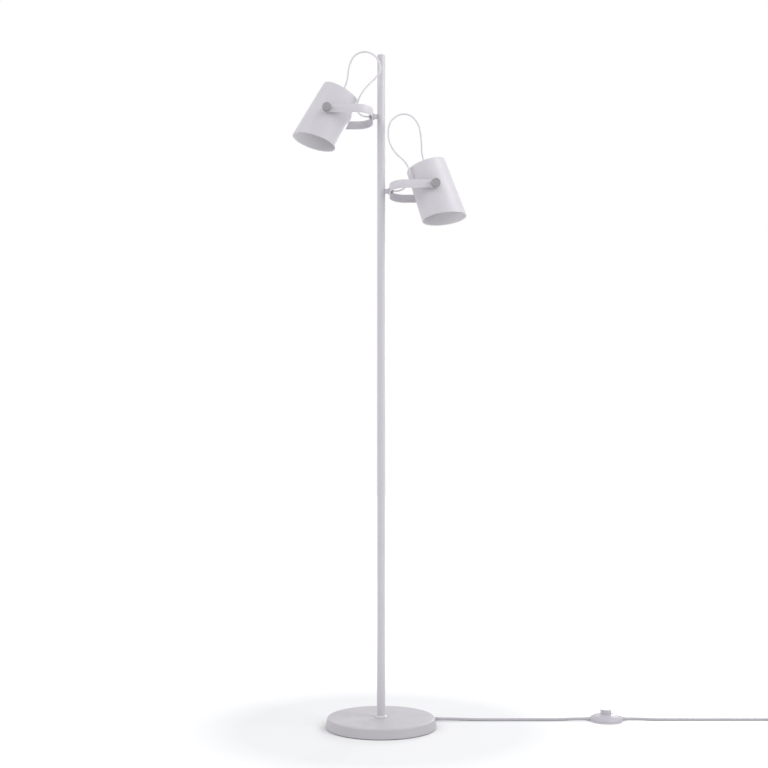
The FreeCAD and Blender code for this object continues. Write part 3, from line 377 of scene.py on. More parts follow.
zinc_plate = plated_metal("zinc_plate", tone(196, 197, 200), tone(168, 169, 172), 0.22, 0.42)
dull_nut = plated_metal("dull_nut", tone(128, 126, 130), tone(98, 96, 100), 0.3, 0.5)
nickel_plate = plated_metal("nickel_plate", tone(214, 211, 205), tone(196, 192, 186), 0.12, 0.3)
lamp_cap_metal = plated_metal("lamp_cap_metal", tone(206, 200, 184), tone(182, 174, 156), 0.2, 0.38)
print("metals", zinc_plate.name, dull_nut.name, nickel_plate.name, lamp_cap_metal.name)

# %% Foam pad, raw casting and the opal bulb
foam_pad, tree, shader, place = start_finish("foam_pad", Roughness=0.9)
cells = tree.nodes.new("ShaderNodeTexVoronoi")
cells.inputs["Scale"].default_value = 900.0
tree.links.new(place, cells.inputs["Vector"])
tree.links.new(blend_tones(tree, cells.outputs["Distance"], tone(44, 44, 46), tone(66, 66, 68)),
               shader.inputs["Base Color"])
raise_bumps(tree, shader, cells.outputs["Distance"], 0.0003)

raw_casting, tree, shader, place = start_finish("raw_casting", Metallic=0.6)
sand = noise_node(tree, place, 600.0, 4.0, 0.7)
tree.links.new(blend_tones(tree, sand, tone(60, 60, 62), tone(92, 90, 90)), shader.inputs["Base Color"])
tree.links.new(ramp_between(tree, sand, 0.3, 0.7, 0.6, 0.8), shader.inputs["Roughness"])
raise_bumps(tree, shader, sand, 0.0003)

opal_glass, tree, shader, place = start_finish("opal_glass", Coat_Weight=0.6, Coat_Roughness=0.06, IOR=1.5)
cloud = noise_node(tree, place, 26.0, 2.0, 0.5)
tree.links.new(blend_tones(tree, cloud, tone(240, 239, 236), tone(230, 229, 226)),
               shader.inputs["Base Color"])
tree.links.new(ramp_between(tree, cloud, 0.3, 0.7, 0.22, 0.34), shader.inputs["Roughness"])
raise_bumps(tree, shader, cloud, 2e-5)
print("pad, casting and opal glass")

finish_of_slot = {
    "white_paint": tube_paint, "cast_iron": raw_casting, "foam_pad": foam_pad, "zinc_steel": zinc_plate,
    "dark_nut": dull_nut, "grey_knob": knob_moulding, "white_plastic": white_moulding,
    "white_gloss": button_moulding, "white_rubber": mains_jacket, "white_lead": mains_jacket,
    "tie_plastic": tie_moulding, "contact_brass": lamp_cap_metal, "nickel_pins": nickel_plate,
    "bulb_cap_metal": lamp_cap_metal, "opal_glass": opal_glass,
}

# %% [markdown]
# ## Every CAD node gets its finish first
#
# Most solids are already the right shape. They keep their place and only receive a finish. The
# pieces that follow replace those whose edges and curves can be finer.

# %% Finish the CAD nodes
def give_finish(thing, material):
    """Put one material on every slot of an object."""
    if not thing.material_slots:
        thing.data.materials.append(material)
    for material_slot in thing.material_slots:
        material_slot.material = material


for node, thing in frame["nodes"].items():
    give_finish(thing, finish_of_slot[slot_of[node]])
print(len(frame["nodes"]), "CAD nodes finished")

# %% [markdown]
# ## Surfaces from numbers
#
# A turned, swept or lofted piece is a grid of points: one direction runs along a profile and the
# other goes round. The whole grid is worked out as one array and handed to the mesh at once. If
# the rows close on themselves the piece is a ring, like a tube with a wall; otherwise a single
# point closes each end.

# %% Grid to mesh
def grid_mesh(name, points, ring=False, sharp=35.0):
    """A closed mesh from points[row, column], round in the columns.

    ring: the last row joins the first. Otherwise the first and last rows each close on the mean of
    their points. Faces are turned outwards by the sign of the enclosed volume."""
    rows, columns = points.shape[:2]
    index = np.arange(rows * columns).reshape(rows, columns)
    below = index if ring else index[:-1]
    above = np.roll(index, -1, axis=0) if ring else index[1:]
    quads = np.stack([below, np.roll(below, -1, axis=1), np.roll(above, -1, axis=1), above], axis=-1)
    vertices = points.reshape(-1, 3)
    faces = quads.reshape(-1, 4).tolist()
    if not ring:
        ends = np.stack([points[0].mean(axis=0), points[-1].mean(axis=0)])
        vertices = np.vstack([vertices, ends])
        first, last = rows * columns, rows * columns + 1
        start, stop = index[0], index[-1]
        faces += np.stack([np.full(columns, first), np.roll(start, -1), start], axis=-1).tolist()
        faces += np.stack([np.full(columns, last), stop, np.roll(stop, -1)], axis=-1).tolist()
    mesh = bpy.data.meshes.new(name)
    mesh.from_pydata(vertices.tolist(), [], faces)
    corners = np.array([(face[0], face[step], face[step + 1])
                        for face in faces for step in range(1, len(face) - 1)])
    spots = vertices - vertices.mean(axis=0)
    a, b, c = spots[corners[:, 0]], spots[corners[:, 1]], spots[corners[:, 2]]
    if np.einsum("ij,ij->i", a, np.cross(b, c)).sum() < 0:
        mesh.flip_normals()
    mesh.shade_smooth()
    mesh.set_sharp_from_angle(angle=math.radians(sharp))
    mesh.validate()
    return mesh


def rounded(corners, steps=5):
    """A profile of (radius, height) corners, each with a rounding, as one array of points.

    A corner with rounding r is replaced by a quarter-like arc: a quadratic curve from the point r
    before the corner to the point r after it."""
    spots = np.array([corner[:2] for corner in corners], float)
    pieces = []
    for here, corner in enumerate(corners):
        rounding = corner[2] if len(corner) > 2 else 0.0
        if not rounding:
            pieces.append(spots[here][None])
            continue
        before = spots[here - 1] - spots[here]
        after = spots[(here + 1) % len(spots)] - spots[here]
        start = spots[here] + before / np.linalg.norm(before) * rounding
        stop = spots[here] + after / np.linalg.norm(after) * rounding
        t = np.linspace(0, 1, steps)[:, None]
        pieces.append((1 - t) ** 2 * start + 2 * t * (1 - t) * spots[here] + t ** 2 * stop)
    return np.vstack(pieces)


def revolved(profile, columns=96):
    """Points of a turned piece: each profile point (radius, height) carried round the Z axis."""
    angle = np.linspace(0, 2 * np.pi, columns, endpoint=False)
    radius, height = profile[:, :1], profile[:, 1:2]
    return np.stack([radius * np.cos(angle), radius * np.sin(angle),
                     np.broadcast_to(height, (len(profile), columns))], axis=-1)


def put(points, place):
    """Points moved by a 4 by 4 place: rotation times point plus shift."""
    place = np.array(place)
    return points @ place[:3, :3].T + place[:3, 3]


def stand_for(mesh, node, material):
    """Make a piece from a mesh that replaces a CAD node and rides on its body."""
    thing = new_thing(mesh.name, mesh)
    give_finish(thing, material)
    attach(thing, frame["nodes"][node]["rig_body"])
    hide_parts(node)
    return thing


print("surface helpers ready")

# %% [markdown]
# ## The mains lead
#
# The lead leaves the back of the base through a strain relief, drops onto the floor, and lies
# almost straight to the foot switch and on out of the picture. About 1.6 m of it isn't seen: it is
# wound into a neat coil just outside the view, with a two-pin plug. A lead has one smooth line, so
# it is a NURBS curve through the same listed points as the CAD solid, given a round bevel.

# %% A lead from its route
def add_route(curve, route):
    """Give a curve one more NURBS spline of order 3, with a route in millimetres as control points."""
    spline = curve.splines.new("NURBS")
    spline.points.add(len(route) - 1)
    spots = np.column_stack([np.array(route, float) * MM, np.ones(len(route))])
    spline.points.foreach_set("co", spots.ravel())
    spline.order_u = 3
    spline.use_endpoint_u = True


def lead_curve(name, route, radius):
    """A round lead along one route; the radius is in millimetres too."""
    curve = bpy.data.curves.new(name, "CURVE")
    curve.dimensions = "3D"
    curve.resolution_u = 12
    curve.render_resolution_u = 12
    curve.bevel_depth = radius * MM
    curve.bevel_resolution = 5
    curve.use_fill_caps = True
    add_route(curve, route)
    return new_thing(name, curve)


def line_of(thing):
    """The points of a curve's own smooth line, read with its bevel off."""
    curve = thing.data
    depth, curve.bevel_depth = curve.bevel_depth, 0.0
    bpy.context.view_layer.update()
    smooth = thing.evaluated_get(bpy.context.evaluated_depsgraph_get())
    mesh = bpy.data.meshes.new_from_object(smooth)
    spots = np.zeros(len(mesh.vertices) * 3)
    mesh.vertices.foreach_get("co", spots)
    bpy.data.meshes.remove(mesh)
    curve.bevel_depth = depth
    return spots.reshape(-1, 3)


def length_so_far(spots):
    """The length along a line of points at each of them."""
    return np.concatenate([[0.0], np.cumsum(np.linalg.norm(np.diff(spots, axis=0), axis=1))])


def dress_lead(thing, nodes):
    """Finish a mains lead, mount it on the stand and let it replace its CAD nodes."""
    give_finish(thing, mains_jacket)
    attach(thing, "stand")
    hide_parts(*nodes)


MAINS_R, LOOP_R, INNER_R = 3.0, 2.0, 1.6
ROW = 58.0          # the lead lies this far behind the tube's axis
FLOOR = 3.05        # its centre when it lies on the floor
EXIT = 4.8          # its centre where it leaves a housing
near_route = [(127, ROW, EXIT), (155, ROW, EXIT), (195, ROW + 0.4, FLOOR + 0.1), (250, ROW - 0.3, FLOOR),
              (306, ROW + 0.3, FLOOR), (356, ROW - 0.3, FLOOR), (396, ROW + 0.1, FLOOR),
              (429.5, ROW, EXIT), (453.5, ROW, EXIT)]
lead_to_switch = lead_curve("lead_to_switch", near_route, MAINS_R)
print("lead to the switch", round(length_so_far(line_of(lead_to_switch))[-1], 3), "m")

# %% The coil's turns, then the whole run from the switch to the plug
COIL_X, COIL_Y, COIL_R = 905.0, 13.5, 44.5
COIL_TURNS = 5.25
COIL_PITCH = 6.6        # from one turn to the next, both inwards and upwards
LAYER = 4.2             # centre of the lead in the lower layer
turns = np.linspace(0, COIL_TURNS, 127)     # 24 points to a turn
middle = COIL_TURNS / 2
spread = COIL_R - COIL_PITCH * (middle - np.abs(turns - middle))
climb = np.clip((turns - middle + 0.25) / 0.5, 0, 1)
rise = LAYER + COIL_PITCH * climb ** 2 * (3 - 2 * climb)
way = np.radians(90 - 360 * turns)
coil_route = np.column_stack([COIL_X + spread * np.cos(way), COIL_Y + spread * np.sin(way), rise])

far_route = [(544.5, ROW, EXIT), (570.5, ROW, EXIT), (606.5, ROW - 0.4, FLOOR), (660, ROW + 0.5, FLOOR),
             (715, ROW - 0.5, FLOOR), (770, ROW + 0.3, FLOOR), (818, ROW - 0.2, FLOOR),
             (863, ROW, FLOOR + 0.1), (889, ROW, LAYER)]
tail_route = [(949.5, -0.5, 10.8), (951, -20.5, 8.25), (950.5, -36.5, 7.05), (950.5, -48.5, 7.05)]
lead_to_plug = lead_curve("lead_to_plug", far_route + coil_route.tolist() + tail_route, MAINS_R)
print("lead from switch to plug", round(length_so_far(line_of(lead_to_plug))[-1], 3), "m")

# %% Finish and mount the mains lead
dress_lead(lead_to_switch, ["mains_lead_near"])
dress_lead(lead_to_plug, ["mains_lead_far", "mains_coil", "mains_tail"])

# %% [markdown]
# ## The loop leads
#
# Each shade's lead comes out of a gland on its closed top, swings up in a loose loop and comes back
# through the strip to the hollow stud on the tube. It has to bend when the shade tilts, so it is a
# mesh: a round section carried along the points of its own NURBS line.

# %% Places of the two heads, as 4 by 4 arrays
def turn_about(axis, degrees):
    """A 4 by 4 rotation about a named axis."""
    return np.array(Matrix.Rotation(math.radians(degrees), 4, axis))


def shift(x, y, z):
    """A 4 by 4 move, in metres."""
    return np.array(Matrix.Translation((x, y, z)))


HEADS = {"upper": dict(height=1.356, tilt=28.0, roll=2.5, turn=180.0),
         "lower": dict(height=1.183, tilt=18.5, roll=3.5, turn=0.0)}
TILT_AXIS_OUT = 0.121       # from the tube's axis to the knobs
strip_place, shade_place = {}, {}
for name, head in HEADS.items():
    at_height = shift(0, 0, head["height"])
    strip_place[name] = at_height @ turn_about("X", -head["roll"]) @ turn_about("Z", head["turn"])
    shade_place[name] = strip_place[name] @ shift(TILT_AXIS_OUT, 0, 0) @ turn_about("Y", -head["tilt"])
    print(name, "tilting axis at", np.round(shade_place[name][:3, 3], 4))


# %% Loop routes and tubes
def tube_mesh(name, line, radius, columns=14):
    """A round section carried along a line.

    The section's first axis starts square to the line and is passed on by taking away, at each
    step, the part that points along the new heading, so the tube doesn't twist."""
    heading = np.gradient(line, axis=0)
    heading /= np.linalg.norm(heading, axis=1)[:, None]
    across = np.zeros_like(line)
    across[0] = np.cross(heading[0], (0.0, 1.0, 0.0))
    across[0] /= np.linalg.norm(across[0])
    for step in range(1, len(line)):
        carried = across[step - 1] - heading[step] * (across[step - 1] @ heading[step])
        across[step] = carried / np.linalg.norm(carried)
    other = np.cross(heading, across)
    angle = np.linspace(0, 2 * np.pi, columns, endpoint=False)[:, None]
    ring = across[:, None] * np.cos(angle) + other[:, None] * np.sin(angle)
    return grid_mesh(name, line[:, None] + radius * ring, sharp=60.0)


def world_spot(place, x, y, z):
    """A point of a head's own frame, in millimetres, as millimetres in the lamp's frame."""
    return tuple(put(np.array([[x, y, z]]) * MM, place)[0] / MM)


loop_middles = {       # millimetres, with heights above the head's turning axis
    "upper": [(-73.5, -4, 122), (-59, -11, 143.5), (-33.5, -18, 147.5), (-10, -23, 133), (1, -25, 101),
              (-12.5, -25, 81), (-32, -25, 63), (-51, -26, 35), (-56, -17, 9)],
    "lower": [(91.5, -2, 124), (84.5, -6, 157), (64, -9, 176.5), (38.5, -12, 175), (18, -15, 154),
              (14.5, -18, 118), (29, -22, 83), (56, -29, 59), (66, -32, 32), (60.5, -22, 8)],
}
# Two spots for each loop, the first at its gland.
loop_bends = {"upper": ((-0.0858, 0, 1.4222), (-0.0619, 0, 1.4246)),
              "lower": ((0.0972, 0, 1.2540), (0.0707, 0, 1.2567))}
SHADE_TOP, GLAND_TOP = 63.0, 75.0     # above the knobs' axis, along the shade
STUD_END = 28.3                       # from the tube's axis, along the strip


for name in HEADS:
    route = [world_spot(shade_place[name], 0, 0, up) for up in (GLAND_TOP, GLAND_TOP + 17)]
    route += [(x, y, HEADS[name]["height"] / MM + above) for x, y, above in loop_middles[name]]
    route += [world_spot(strip_place[name], out, 0, 0) for out in (STUD_END + 15, STUD_END)]
    guide = lead_curve(name + "_loop_guide", route, LOOP_R)
    line = line_of(guide)
    bpy.data.objects.remove(guide)
    loop = new_thing(name + "_loop", tube_mesh(name + "_loop", line, LOOP_R * MM))
    give_finish(loop, loop_jacket)
    start, end = loop_bends[name]
    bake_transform(loop)
    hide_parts(name + "_loop_lead")
    print(name, "loop", round(length_so_far(line)[-1], 3), "m")

# %% [markdown]
# ## The shades
#
# Each shade is spun from thin steel: a slightly widening cone with a flat closed top, a soft edge
# round it, and a mouth cut off at a slant. A plain turned profile can't have a slanted mouth, so
# the height of each point on the side is measured as a share of the way from the top edge down to
# the mouth, and the mouth's height changes round the shade.

# %% The shade's two-parameter surface
TOP_R, MOUTH_R, RISE, DROP, WALL = 45.5, 49.5, SHADE_TOP, 68.0, 1.2
EDGE_R = 1.5                  # the soft edge round the closed top
LEAD_HOLE_R = 4.25
FLAT_ROWS, EDGE_ROWS, SIDE_ROWS, LIP_ROWS = 7, 6, 26, 7
SLOPE = (MOUTH_R - TOP_R) / (RISE + DROP)
SLANT = math.tan(math.radians(11.4))


def side_radius(height):
    """Outside radius of the cone at a height: the top radius plus the slope times the way down."""
    return TOP_R + SLOPE * (RISE - height)


def shade_surface(columns=160):
    """Rows run from the lead hole over the top, down the outside, round the rim and up the inside.

    The mouth is a plane through the axis at -DROP; on the cone its height is
    -(DROP + slant cos(a) (top radius + slope rise)) / (1 - slant slope cos(a))."""
    angle = np.linspace(0, 2 * np.pi, columns, endpoint=False)
    mouth = -(DROP + SLANT * np.cos(angle) * (TOP_R + SLOPE * RISE)) / (1 - SLANT * SLOPE * np.cos(angle))
    flat = np.ones(columns)
    top_radii = np.linspace(LEAD_HOLE_R, TOP_R - EDGE_R, FLAT_ROWS)[:, None] * flat
    top = (top_radii, RISE * np.ones_like(top_radii))
    bend = np.radians(np.linspace(80, 8, EDGE_ROWS))[:, None] * flat
    edge = (TOP_R - EDGE_R + EDGE_R * np.cos(bend), RISE - EDGE_R + EDGE_R * np.sin(bend))
    share = np.linspace(0, 1, SIDE_ROWS)[:, None]
    outer_height = (RISE - EDGE_R) + (mouth + WALL / 2 - RISE + EDGE_R) * share
    outer = (side_radius(outer_height), outer_height)
    lip = np.radians(np.linspace(12, 168, LIP_ROWS))[:, None]
    rim = (side_radius(mouth) - WALL / 2 + WALL / 2 * np.cos(lip),
           mouth + WALL / 2 - WALL / 2 * np.sin(lip))
    inner_height = (mouth + WALL / 2) + (RISE - WALL - 0.6 - mouth - WALL / 2) * share
    inner = (side_radius(inner_height) - WALL, inner_height)
    ceiling_radii = np.linspace(TOP_R - WALL - 0.8, LEAD_HOLE_R, FLAT_ROWS)[:, None] * flat
    ceiling = (ceiling_radii, (RISE - WALL) * np.ones_like(ceiling_radii))
    radius, height = (np.vstack(bands) for bands in zip(top, edge, outer, rim, inner, ceiling))
    return np.stack([radius * np.cos(angle), radius * np.sin(angle), height], axis=-1)


LINING_FROM = FLAT_ROWS + EDGE_ROWS + SIDE_ROWS + LIP_ROWS // 2 + 1     # rows before the inside
for name in HEADS:
    points = put(shade_surface() * MM, shade_place[name])
    mesh = grid_mesh(name + "_shade_shell", points, ring=True)
    shell = stand_for(mesh, name + "_shade", shade_paint)
    # The inside faces take the lighter copy of the paint, which is painted light for the light bounced
    # inside the shade.
    mesh.materials.append(painted_light_lining)
    inside = np.arange(len(mesh.polygons)) >= LINING_FROM * points.shape[1]
    mesh.polygons.foreach_set("material_index", inside.astype(np.int32))
    print(shell.name, len(mesh.polygons), "faces,", inside.sum(), "of them lined")

# %% [markdown]
# ## Turned pieces
#
# Caps, bushes, glands, the lampholder, the bulb, the tube and the base cover are all turned
# shapes. Each is a short list of corners, some with a rounding, carried round an axis. Where a
# piece has a hole through it the profile closes on itself and the mesh is a ring.

# %% A turned piece from its corners
def turned_piece(name, nodes, corners, material, place=None, ring=True, columns=96, steps=5):
    """Revolve corners in millimetres, put the piece in its place and let it stand for CAD nodes."""
    points = revolved(rounded(corners, steps), columns) * MM
    if place is not None:
        points = put(points, place)
    return stand_for(grid_mesh(name, points, ring=ring), nodes, material)


# %% Tube, its cap and the ring at its foot
turned_piece("pole_tube", "pole", [(7.5, 21.6), (9, 21.6), (9, 400), (9, 800), (9, 1200), (9, 1498),
                                   (7.5, 1498)], tube_paint, columns=72)
turned_piece("pole_end_cap", "pole_cap", [(0.3, 1486), (7.4, 1486, 0.6), (7.4, 1498), (9, 1498),
                                          (9, 1500, 0.8), (0.3, 1500)], white_moulding, ring=False)
turned_piece("pole_foot_ring", "pole_collar",
             [(9.05, 21.5), (14, 21.5), (14, 22.8, 0.5), (12.6, 23.6, 0.4), (11, 24.4, 0.5),
              (9.9, 25.5, 0.3), (9.05, 25.5)], tube_paint)
print("tube, cap and foot ring")

# %% [markdown]
# ## The base
#
# A pressed steel cover hides a cast disc. Its top edge is soft, its side leans in a little, and a
# thin pad under it leaves the dark line that the photograph shows between base and floor.

# %% Base cover and pad
# The cover takes the darker copy of the white paint, which is painted shade.
turned_piece("base_cover_pressing", "base_cover",
             [(5.05, 20), (114.8, 20, 2.6), (118.4, 1.9), (118.9, 1.5, 0.3), (120, 1.5, 0.5),
              (119.4, 4.6), (116.3, 21.5, 3.6), (60, 21.62), (14.2, 21.5), (5.05, 21.5)],
             shaded_base_paint, columns=220, steps=9)
turned_piece("base_foot_pad", "base_pad",
             [(0.5, 0.02), (112, 0.02, 0.5), (112, 1.5, 0.3), (0.5, 1.5)], foam_pad, ring=False, columns=160)
print("base cover and pad")

# %% [markdown]
# ## Lampholder and bulb
#
# Seen from below, the shades show a plain lampholder with its screw ring and a small opal bulb.
# The bulb is a ball on a neck, and the two meet in one smooth curve.

# %% Holder, ring and bulb
HOLDER_TOP = RISE - WALL
MOUTH_Z = HOLDER_TOP - 50     # the holder's open end
BULB_R, BULB_LENGTH = 22.5, 56
holder_corners = [(8.2, MOUTH_Z + 27), (8.2, MOUTH_Z), (14, MOUTH_Z, 0.6), (14, MOUTH_Z + 34, 1.2),
                  (11, MOUTH_Z + 43, 1.2), (11, HOLDER_TOP), (LEAD_HOLE_R, HOLDER_TOP),
                  (LEAD_HOLE_R, HOLDER_TOP - 2.5), (0.4, HOLDER_TOP - 2.5), (0.4, MOUTH_Z + 27)]
ring_corners = [(14.05, MOUTH_Z + 6), (18, MOUTH_Z + 6, 0.5), (18, MOUTH_Z + 7.6, 0.5),
                (15.6, MOUTH_Z + 7.6), (15.6, MOUTH_Z + 11, 0.4), (14.05, MOUTH_Z + 11)]
ball_z = MOUTH_Z - BULB_LENGTH + BULB_R
arc = np.radians(np.linspace(-89, 30, 40))
ball = np.column_stack([BULB_R * np.cos(arc), ball_z + BULB_R * np.sin(arc)])
t = np.linspace(0, 1, 12)[1:, None]
start, control, stop = ball[-1], np.array([12.4, ball_z + 23.5]), np.array([9.0, MOUTH_Z - 1.0])
neck = (1 - t) ** 2 * start + 2 * t * (1 - t) * control + t ** 2 * stop
bulb_profile = np.vstack([ball, neck, [[6.9, MOUTH_Z - 0.6], [6.9, MOUTH_Z + 0.9]]])
for name in HEADS:
    place = shade_place[name]
    turned_piece(name + "_holder_body", name + "_lampholder", holder_corners, white_moulding, place)
    turned_piece(name + "_holder_nut_ring", name + "_holder_ring", ring_corners, white_moulding, place)
    points = put(revolved(bulb_profile, 80) * MM, place)
    stand_for(grid_mesh(name + "_bulb", points, sharp=70), name + "_bulb_glass", opal_glass)
print("holders and bulbs")

# %% [markdown]
# ## Glands, studs and their hardware
#
# A stepped gland holds the lead on each shade's closed top. On the tube a hollow stud carries the
# strip between two washers, with a dull nut inside the strip and a soft bush where the lead goes in.

# %% Glands and bushes
gland_corners = [(1.65, 59.8), (4.2, 59.8), (4.2, RISE), (7, RISE), (7, RISE + 3.6, 0.9),
                 (4.4, RISE + 6.6, 0.8), (3.6, RISE + 12, 0.7), (2.05, RISE + 12, 0.2)]
along_x = turn_about("Y", 90)
bush_corners = [(1.65, 21.8), (2.85, 21.8), (2.85, 26.8), (4.2, 26.8, 0.3), (3.6, STUD_END, 0.4),
                (2.05, STUD_END, 0.2)]
stud_corners = [(2.9, 6.5), (4.2, 6.5), (4.2, 8.6), (5.5, 8.6), (5.5, 15.4, 0.3), (7.5, 15.4, 0.5),
                (7.5, 17.6, 0.3), (4.2, 17.6), (4.2, 26.8, 0.4), (2.9, 26.8)]
for name in HEADS:
    turned_piece(name + "_gland", name + "_lead_gland", gland_corners, white_moulding, shade_place[name])
    turned_piece(name + "_lead_bush", name + "_stud_bush", bush_corners, white_moulding,
                 strip_place[name] @ along_x, columns=48)
    turned_piece(name + "_hollow_stud", name + "_stud", stud_corners, tube_paint,
                 strip_place[name] @ along_x, columns=64)
print("glands, bushes and studs")


# %% Hexagon nuts with chamfered corners
def hexagon_nut(name, flat_radius, hole, low, high, columns=72):
    """A nut whose outside radius in each direction is flat_radius / cos(angle to the nearest flat).

    The end rows are drawn in to a circle just over the flats, which leaves the curved chamfer
    that a real nut has on its corners."""
    angle = np.linspace(0, 2 * np.pi, columns, endpoint=False)
    to_flat = (angle + np.pi / 6) % (np.pi / 3) - np.pi / 6
    hexagon = flat_radius / np.cos(to_flat)
    chamfer = np.minimum(hexagon, flat_radius * 1.04)
    rows = [(np.full(columns, hole), low), (chamfer, low), (hexagon, low + 0.5), (hexagon, high - 0.5),
            (chamfer, high), (np.full(columns, hole), high)]
    radius = np.stack([row[0] for row in rows])
    height = np.stack([np.full(columns, row[1]) for row in rows])
    points = np.stack([radius * np.cos(angle), radius * np.sin(angle), height], axis=-1)
    return grid_mesh(name, points * MM, ring=True, sharp=25.0)


for name in HEADS:
    nut = hexagon_nut(name + "_hex_nut", 6.06, 4.25, 21.4, 25.9)
    nut.transform(Matrix((strip_place[name] @ along_x).tolist()))
    stand_for(nut, name + "_stud_nut", dull_nut)
print("nuts")

# %% [markdown]
# ## Softened copies of CAD pieces
#
# The strips, washers and spacers have the right shape with all their holes. Only their edges are
# too sharp to catch light as pressed and painted steel does. A copy of the CAD mesh is merged, its
# flat faces are joined, and a Bevel modifier rounds every edge over an angle.

# %% Soften a copy of a CAD node
def softened(node, width, material, angle=32.0):
    """A merged copy of a CAD node with rounded edges; width in millimetres."""
    work = bmesh.new()
    work.from_mesh(frame["nodes"][node].data)
    bmesh.ops.remove_doubles(work, verts=work.verts, dist=2e-6)
    bmesh.ops.dissolve_limit(work, angle_limit=math.radians(0.4), verts=work.verts, edges=work.edges)
    mesh = bpy.data.meshes.new(node + "_eased")
    work.to_mesh(mesh)
    work.free()
    mesh.shade_smooth()
    thing = stand_for(mesh, node, material)
    ease = thing.modifiers.new("eased_edges", "BEVEL")
    ease.width = width * MM
    ease.segments = 2
    ease.limit_method = "ANGLE"
    ease.angle_limit = math.radians(angle)
    ease.harden_normals = True
    return thing


for name in HEADS:
    softened(name + "_yoke", 0.45, shade_paint)
    softened(name + "_pivot_spacers", 0.3, white_moulding)
    softened(name + "_stud_washers", 0.15, zinc_plate)
print("strips, spacers and washers eased")

# %% [markdown]
# ## The clamping knobs
#
# Grey plastic knobs clamp each shade between the strip's arms. The grip has sixteen grooves, a
# rounded edge and a slightly sunk face with a raised middle. The groove is a number taken from the
# radius, largest at sixteen angles and nothing between them, and only rows on the grip's side use it.

# %% Knob surface
KNOB_R, GROOVES, GROOVE_DEPTH, GROOVE_HALF = 10.0, 16, 0.5, 0.95


def knob_surface(columns=256):
    """Rows follow the screw and the grip; each point's radius loses the groove's depth.

    The groove is depth times the square root of 1 - (distance from its middle / half width) squared."""
    profile = rounded([(0.2, 39.6), (2.5, 39.6, 0.4), (2.5, 53.6), (9.2, 53.6), (10, 54.6, 0.4), (10, 57),
                       (10, 60), (10, 63.1, 1.2), (7.6, 63.1, 0.3), (7.0, 62.6, 0.3), (4.6, 62.6, 0.3),
                       (4.2, 62.8, 0.2), (0.2, 62.9)])
    angle = np.linspace(0, 2 * np.pi, columns, endpoint=False)
    step = 2 * np.pi / GROOVES
    away = np.abs((angle + step / 2) % step - step / 2) * KNOB_R
    groove = GROOVE_DEPTH * np.sqrt(np.clip(1 - (away / GROOVE_HALF) ** 2, 0, 1))
    radius = profile[:, :1]
    share = np.clip((radius - 8.6) / 0.9, 0, 1)
    grooved = radius - share * groove
    height = np.broadcast_to(profile[:, 1:2], grooved.shape)
    return np.stack([grooved * np.cos(angle), grooved * np.sin(angle), height], axis=-1)


for name in HEADS:
    for side, tip in (("front", 90), ("rear", -90)):
        points = put(knob_surface() * MM, shade_place[name] @ turn_about("X", tip))
        stand_for(grid_mesh("%s_%s_grip_knob" % (name, side), points, sharp=40),
                  "%s_%s_knob" % (name, side), knob_moulding)
print("knobs")

# %% [markdown]
# ## The foot switch
#
# A round domed switch sits on the floor in the lead. Two necks hold the lead, and a large button
# stands out of the middle. Dome and necks are one moulding on the real thing, so their surfaces
# are joined in one mesh, with a flare where each neck grows out of the dome. Under the button sits
# a small spring: a wire along a helix.

# %% Dome, necks and button
def joined(name, meshes):
    """One mesh from several."""
    work = bmesh.new()
    for mesh in meshes:
        work.from_mesh(mesh)
        bpy.data.meshes.remove(mesh)
    whole = bpy.data.meshes.new(name)
    work.to_mesh(whole)
    work.free()
    return whole


SWITCH_X = 0.499
DOME_R, DOME_FOOT, DOME_RISE = 36.5, 3.9, 12.9
COVER_FOOT = 3.56             # just over the switch's base plate
BUTTON_HOLE_R = 12.4
switch_place = shift(SWITCH_X, ROW * MM, 0)
sweep = np.radians(np.linspace(70.2, 2, 26))
dome = np.column_stack([DOME_R * np.cos(sweep), DOME_FOOT + DOME_RISE * np.sin(sweep) ** 1.15])
lower = np.array([[DOME_R, DOME_FOOT], [36.3, 3.6], [34.4, COVER_FOOT]])
inside = dome[::-1][2:] - np.array([0.9, 2.0])
inside[-1] = (BUTTON_HOLE_R, inside[-1][1])
inside[:, 1] = np.maximum(inside[:, 1], COVER_FOOT)
profile = np.vstack([dome, lower, inside])
dome_mesh = grid_mesh("dome", put(revolved(profile, 160) * MM, switch_place), ring=True, sharp=45)
NECK_FROM, NECK_TO = 31.5, 45.5
NECK_LOWEST = 0.0006          # the necks are flat where they would touch the floor
run = np.linspace(0, 1, 20)
neck_profile = np.column_stack([3.45 + 1.0 * (1 - run) + 2.4 * np.exp(-run * 7),
                                NECK_FROM + (NECK_TO - NECK_FROM) * run])
neck_profile = np.vstack([[[0.2, NECK_FROM]], neck_profile, [[3.1, NECK_TO], [0.2, NECK_TO]]])
necks = []
for tip in (90, -90):
    points = revolved(neck_profile, 48) * MM
    points = put(points, switch_place @ shift(0, 0, EXIT * MM) @ turn_about("Y", tip))
    points[..., 2] = np.maximum(points[..., 2], NECK_LOWEST)
    necks.append(grid_mesh("neck", points, sharp=50))
switch_housing = stand_for(joined("switch_housing", [dome_mesh] + necks), "switch_cover", switch_moulding)
turned_piece("switch_push_button", "switch_button",
             [(0.3, 11), (11.9, 11), (12, 12), (12, 25.5, 1.3), (9.2, 25.45, 0.6), (8.6, 25.1, 0.5),
              (0.3, 24.9)], button_moulding, switch_place, ring=False, steps=7)
print("switch housing and button")
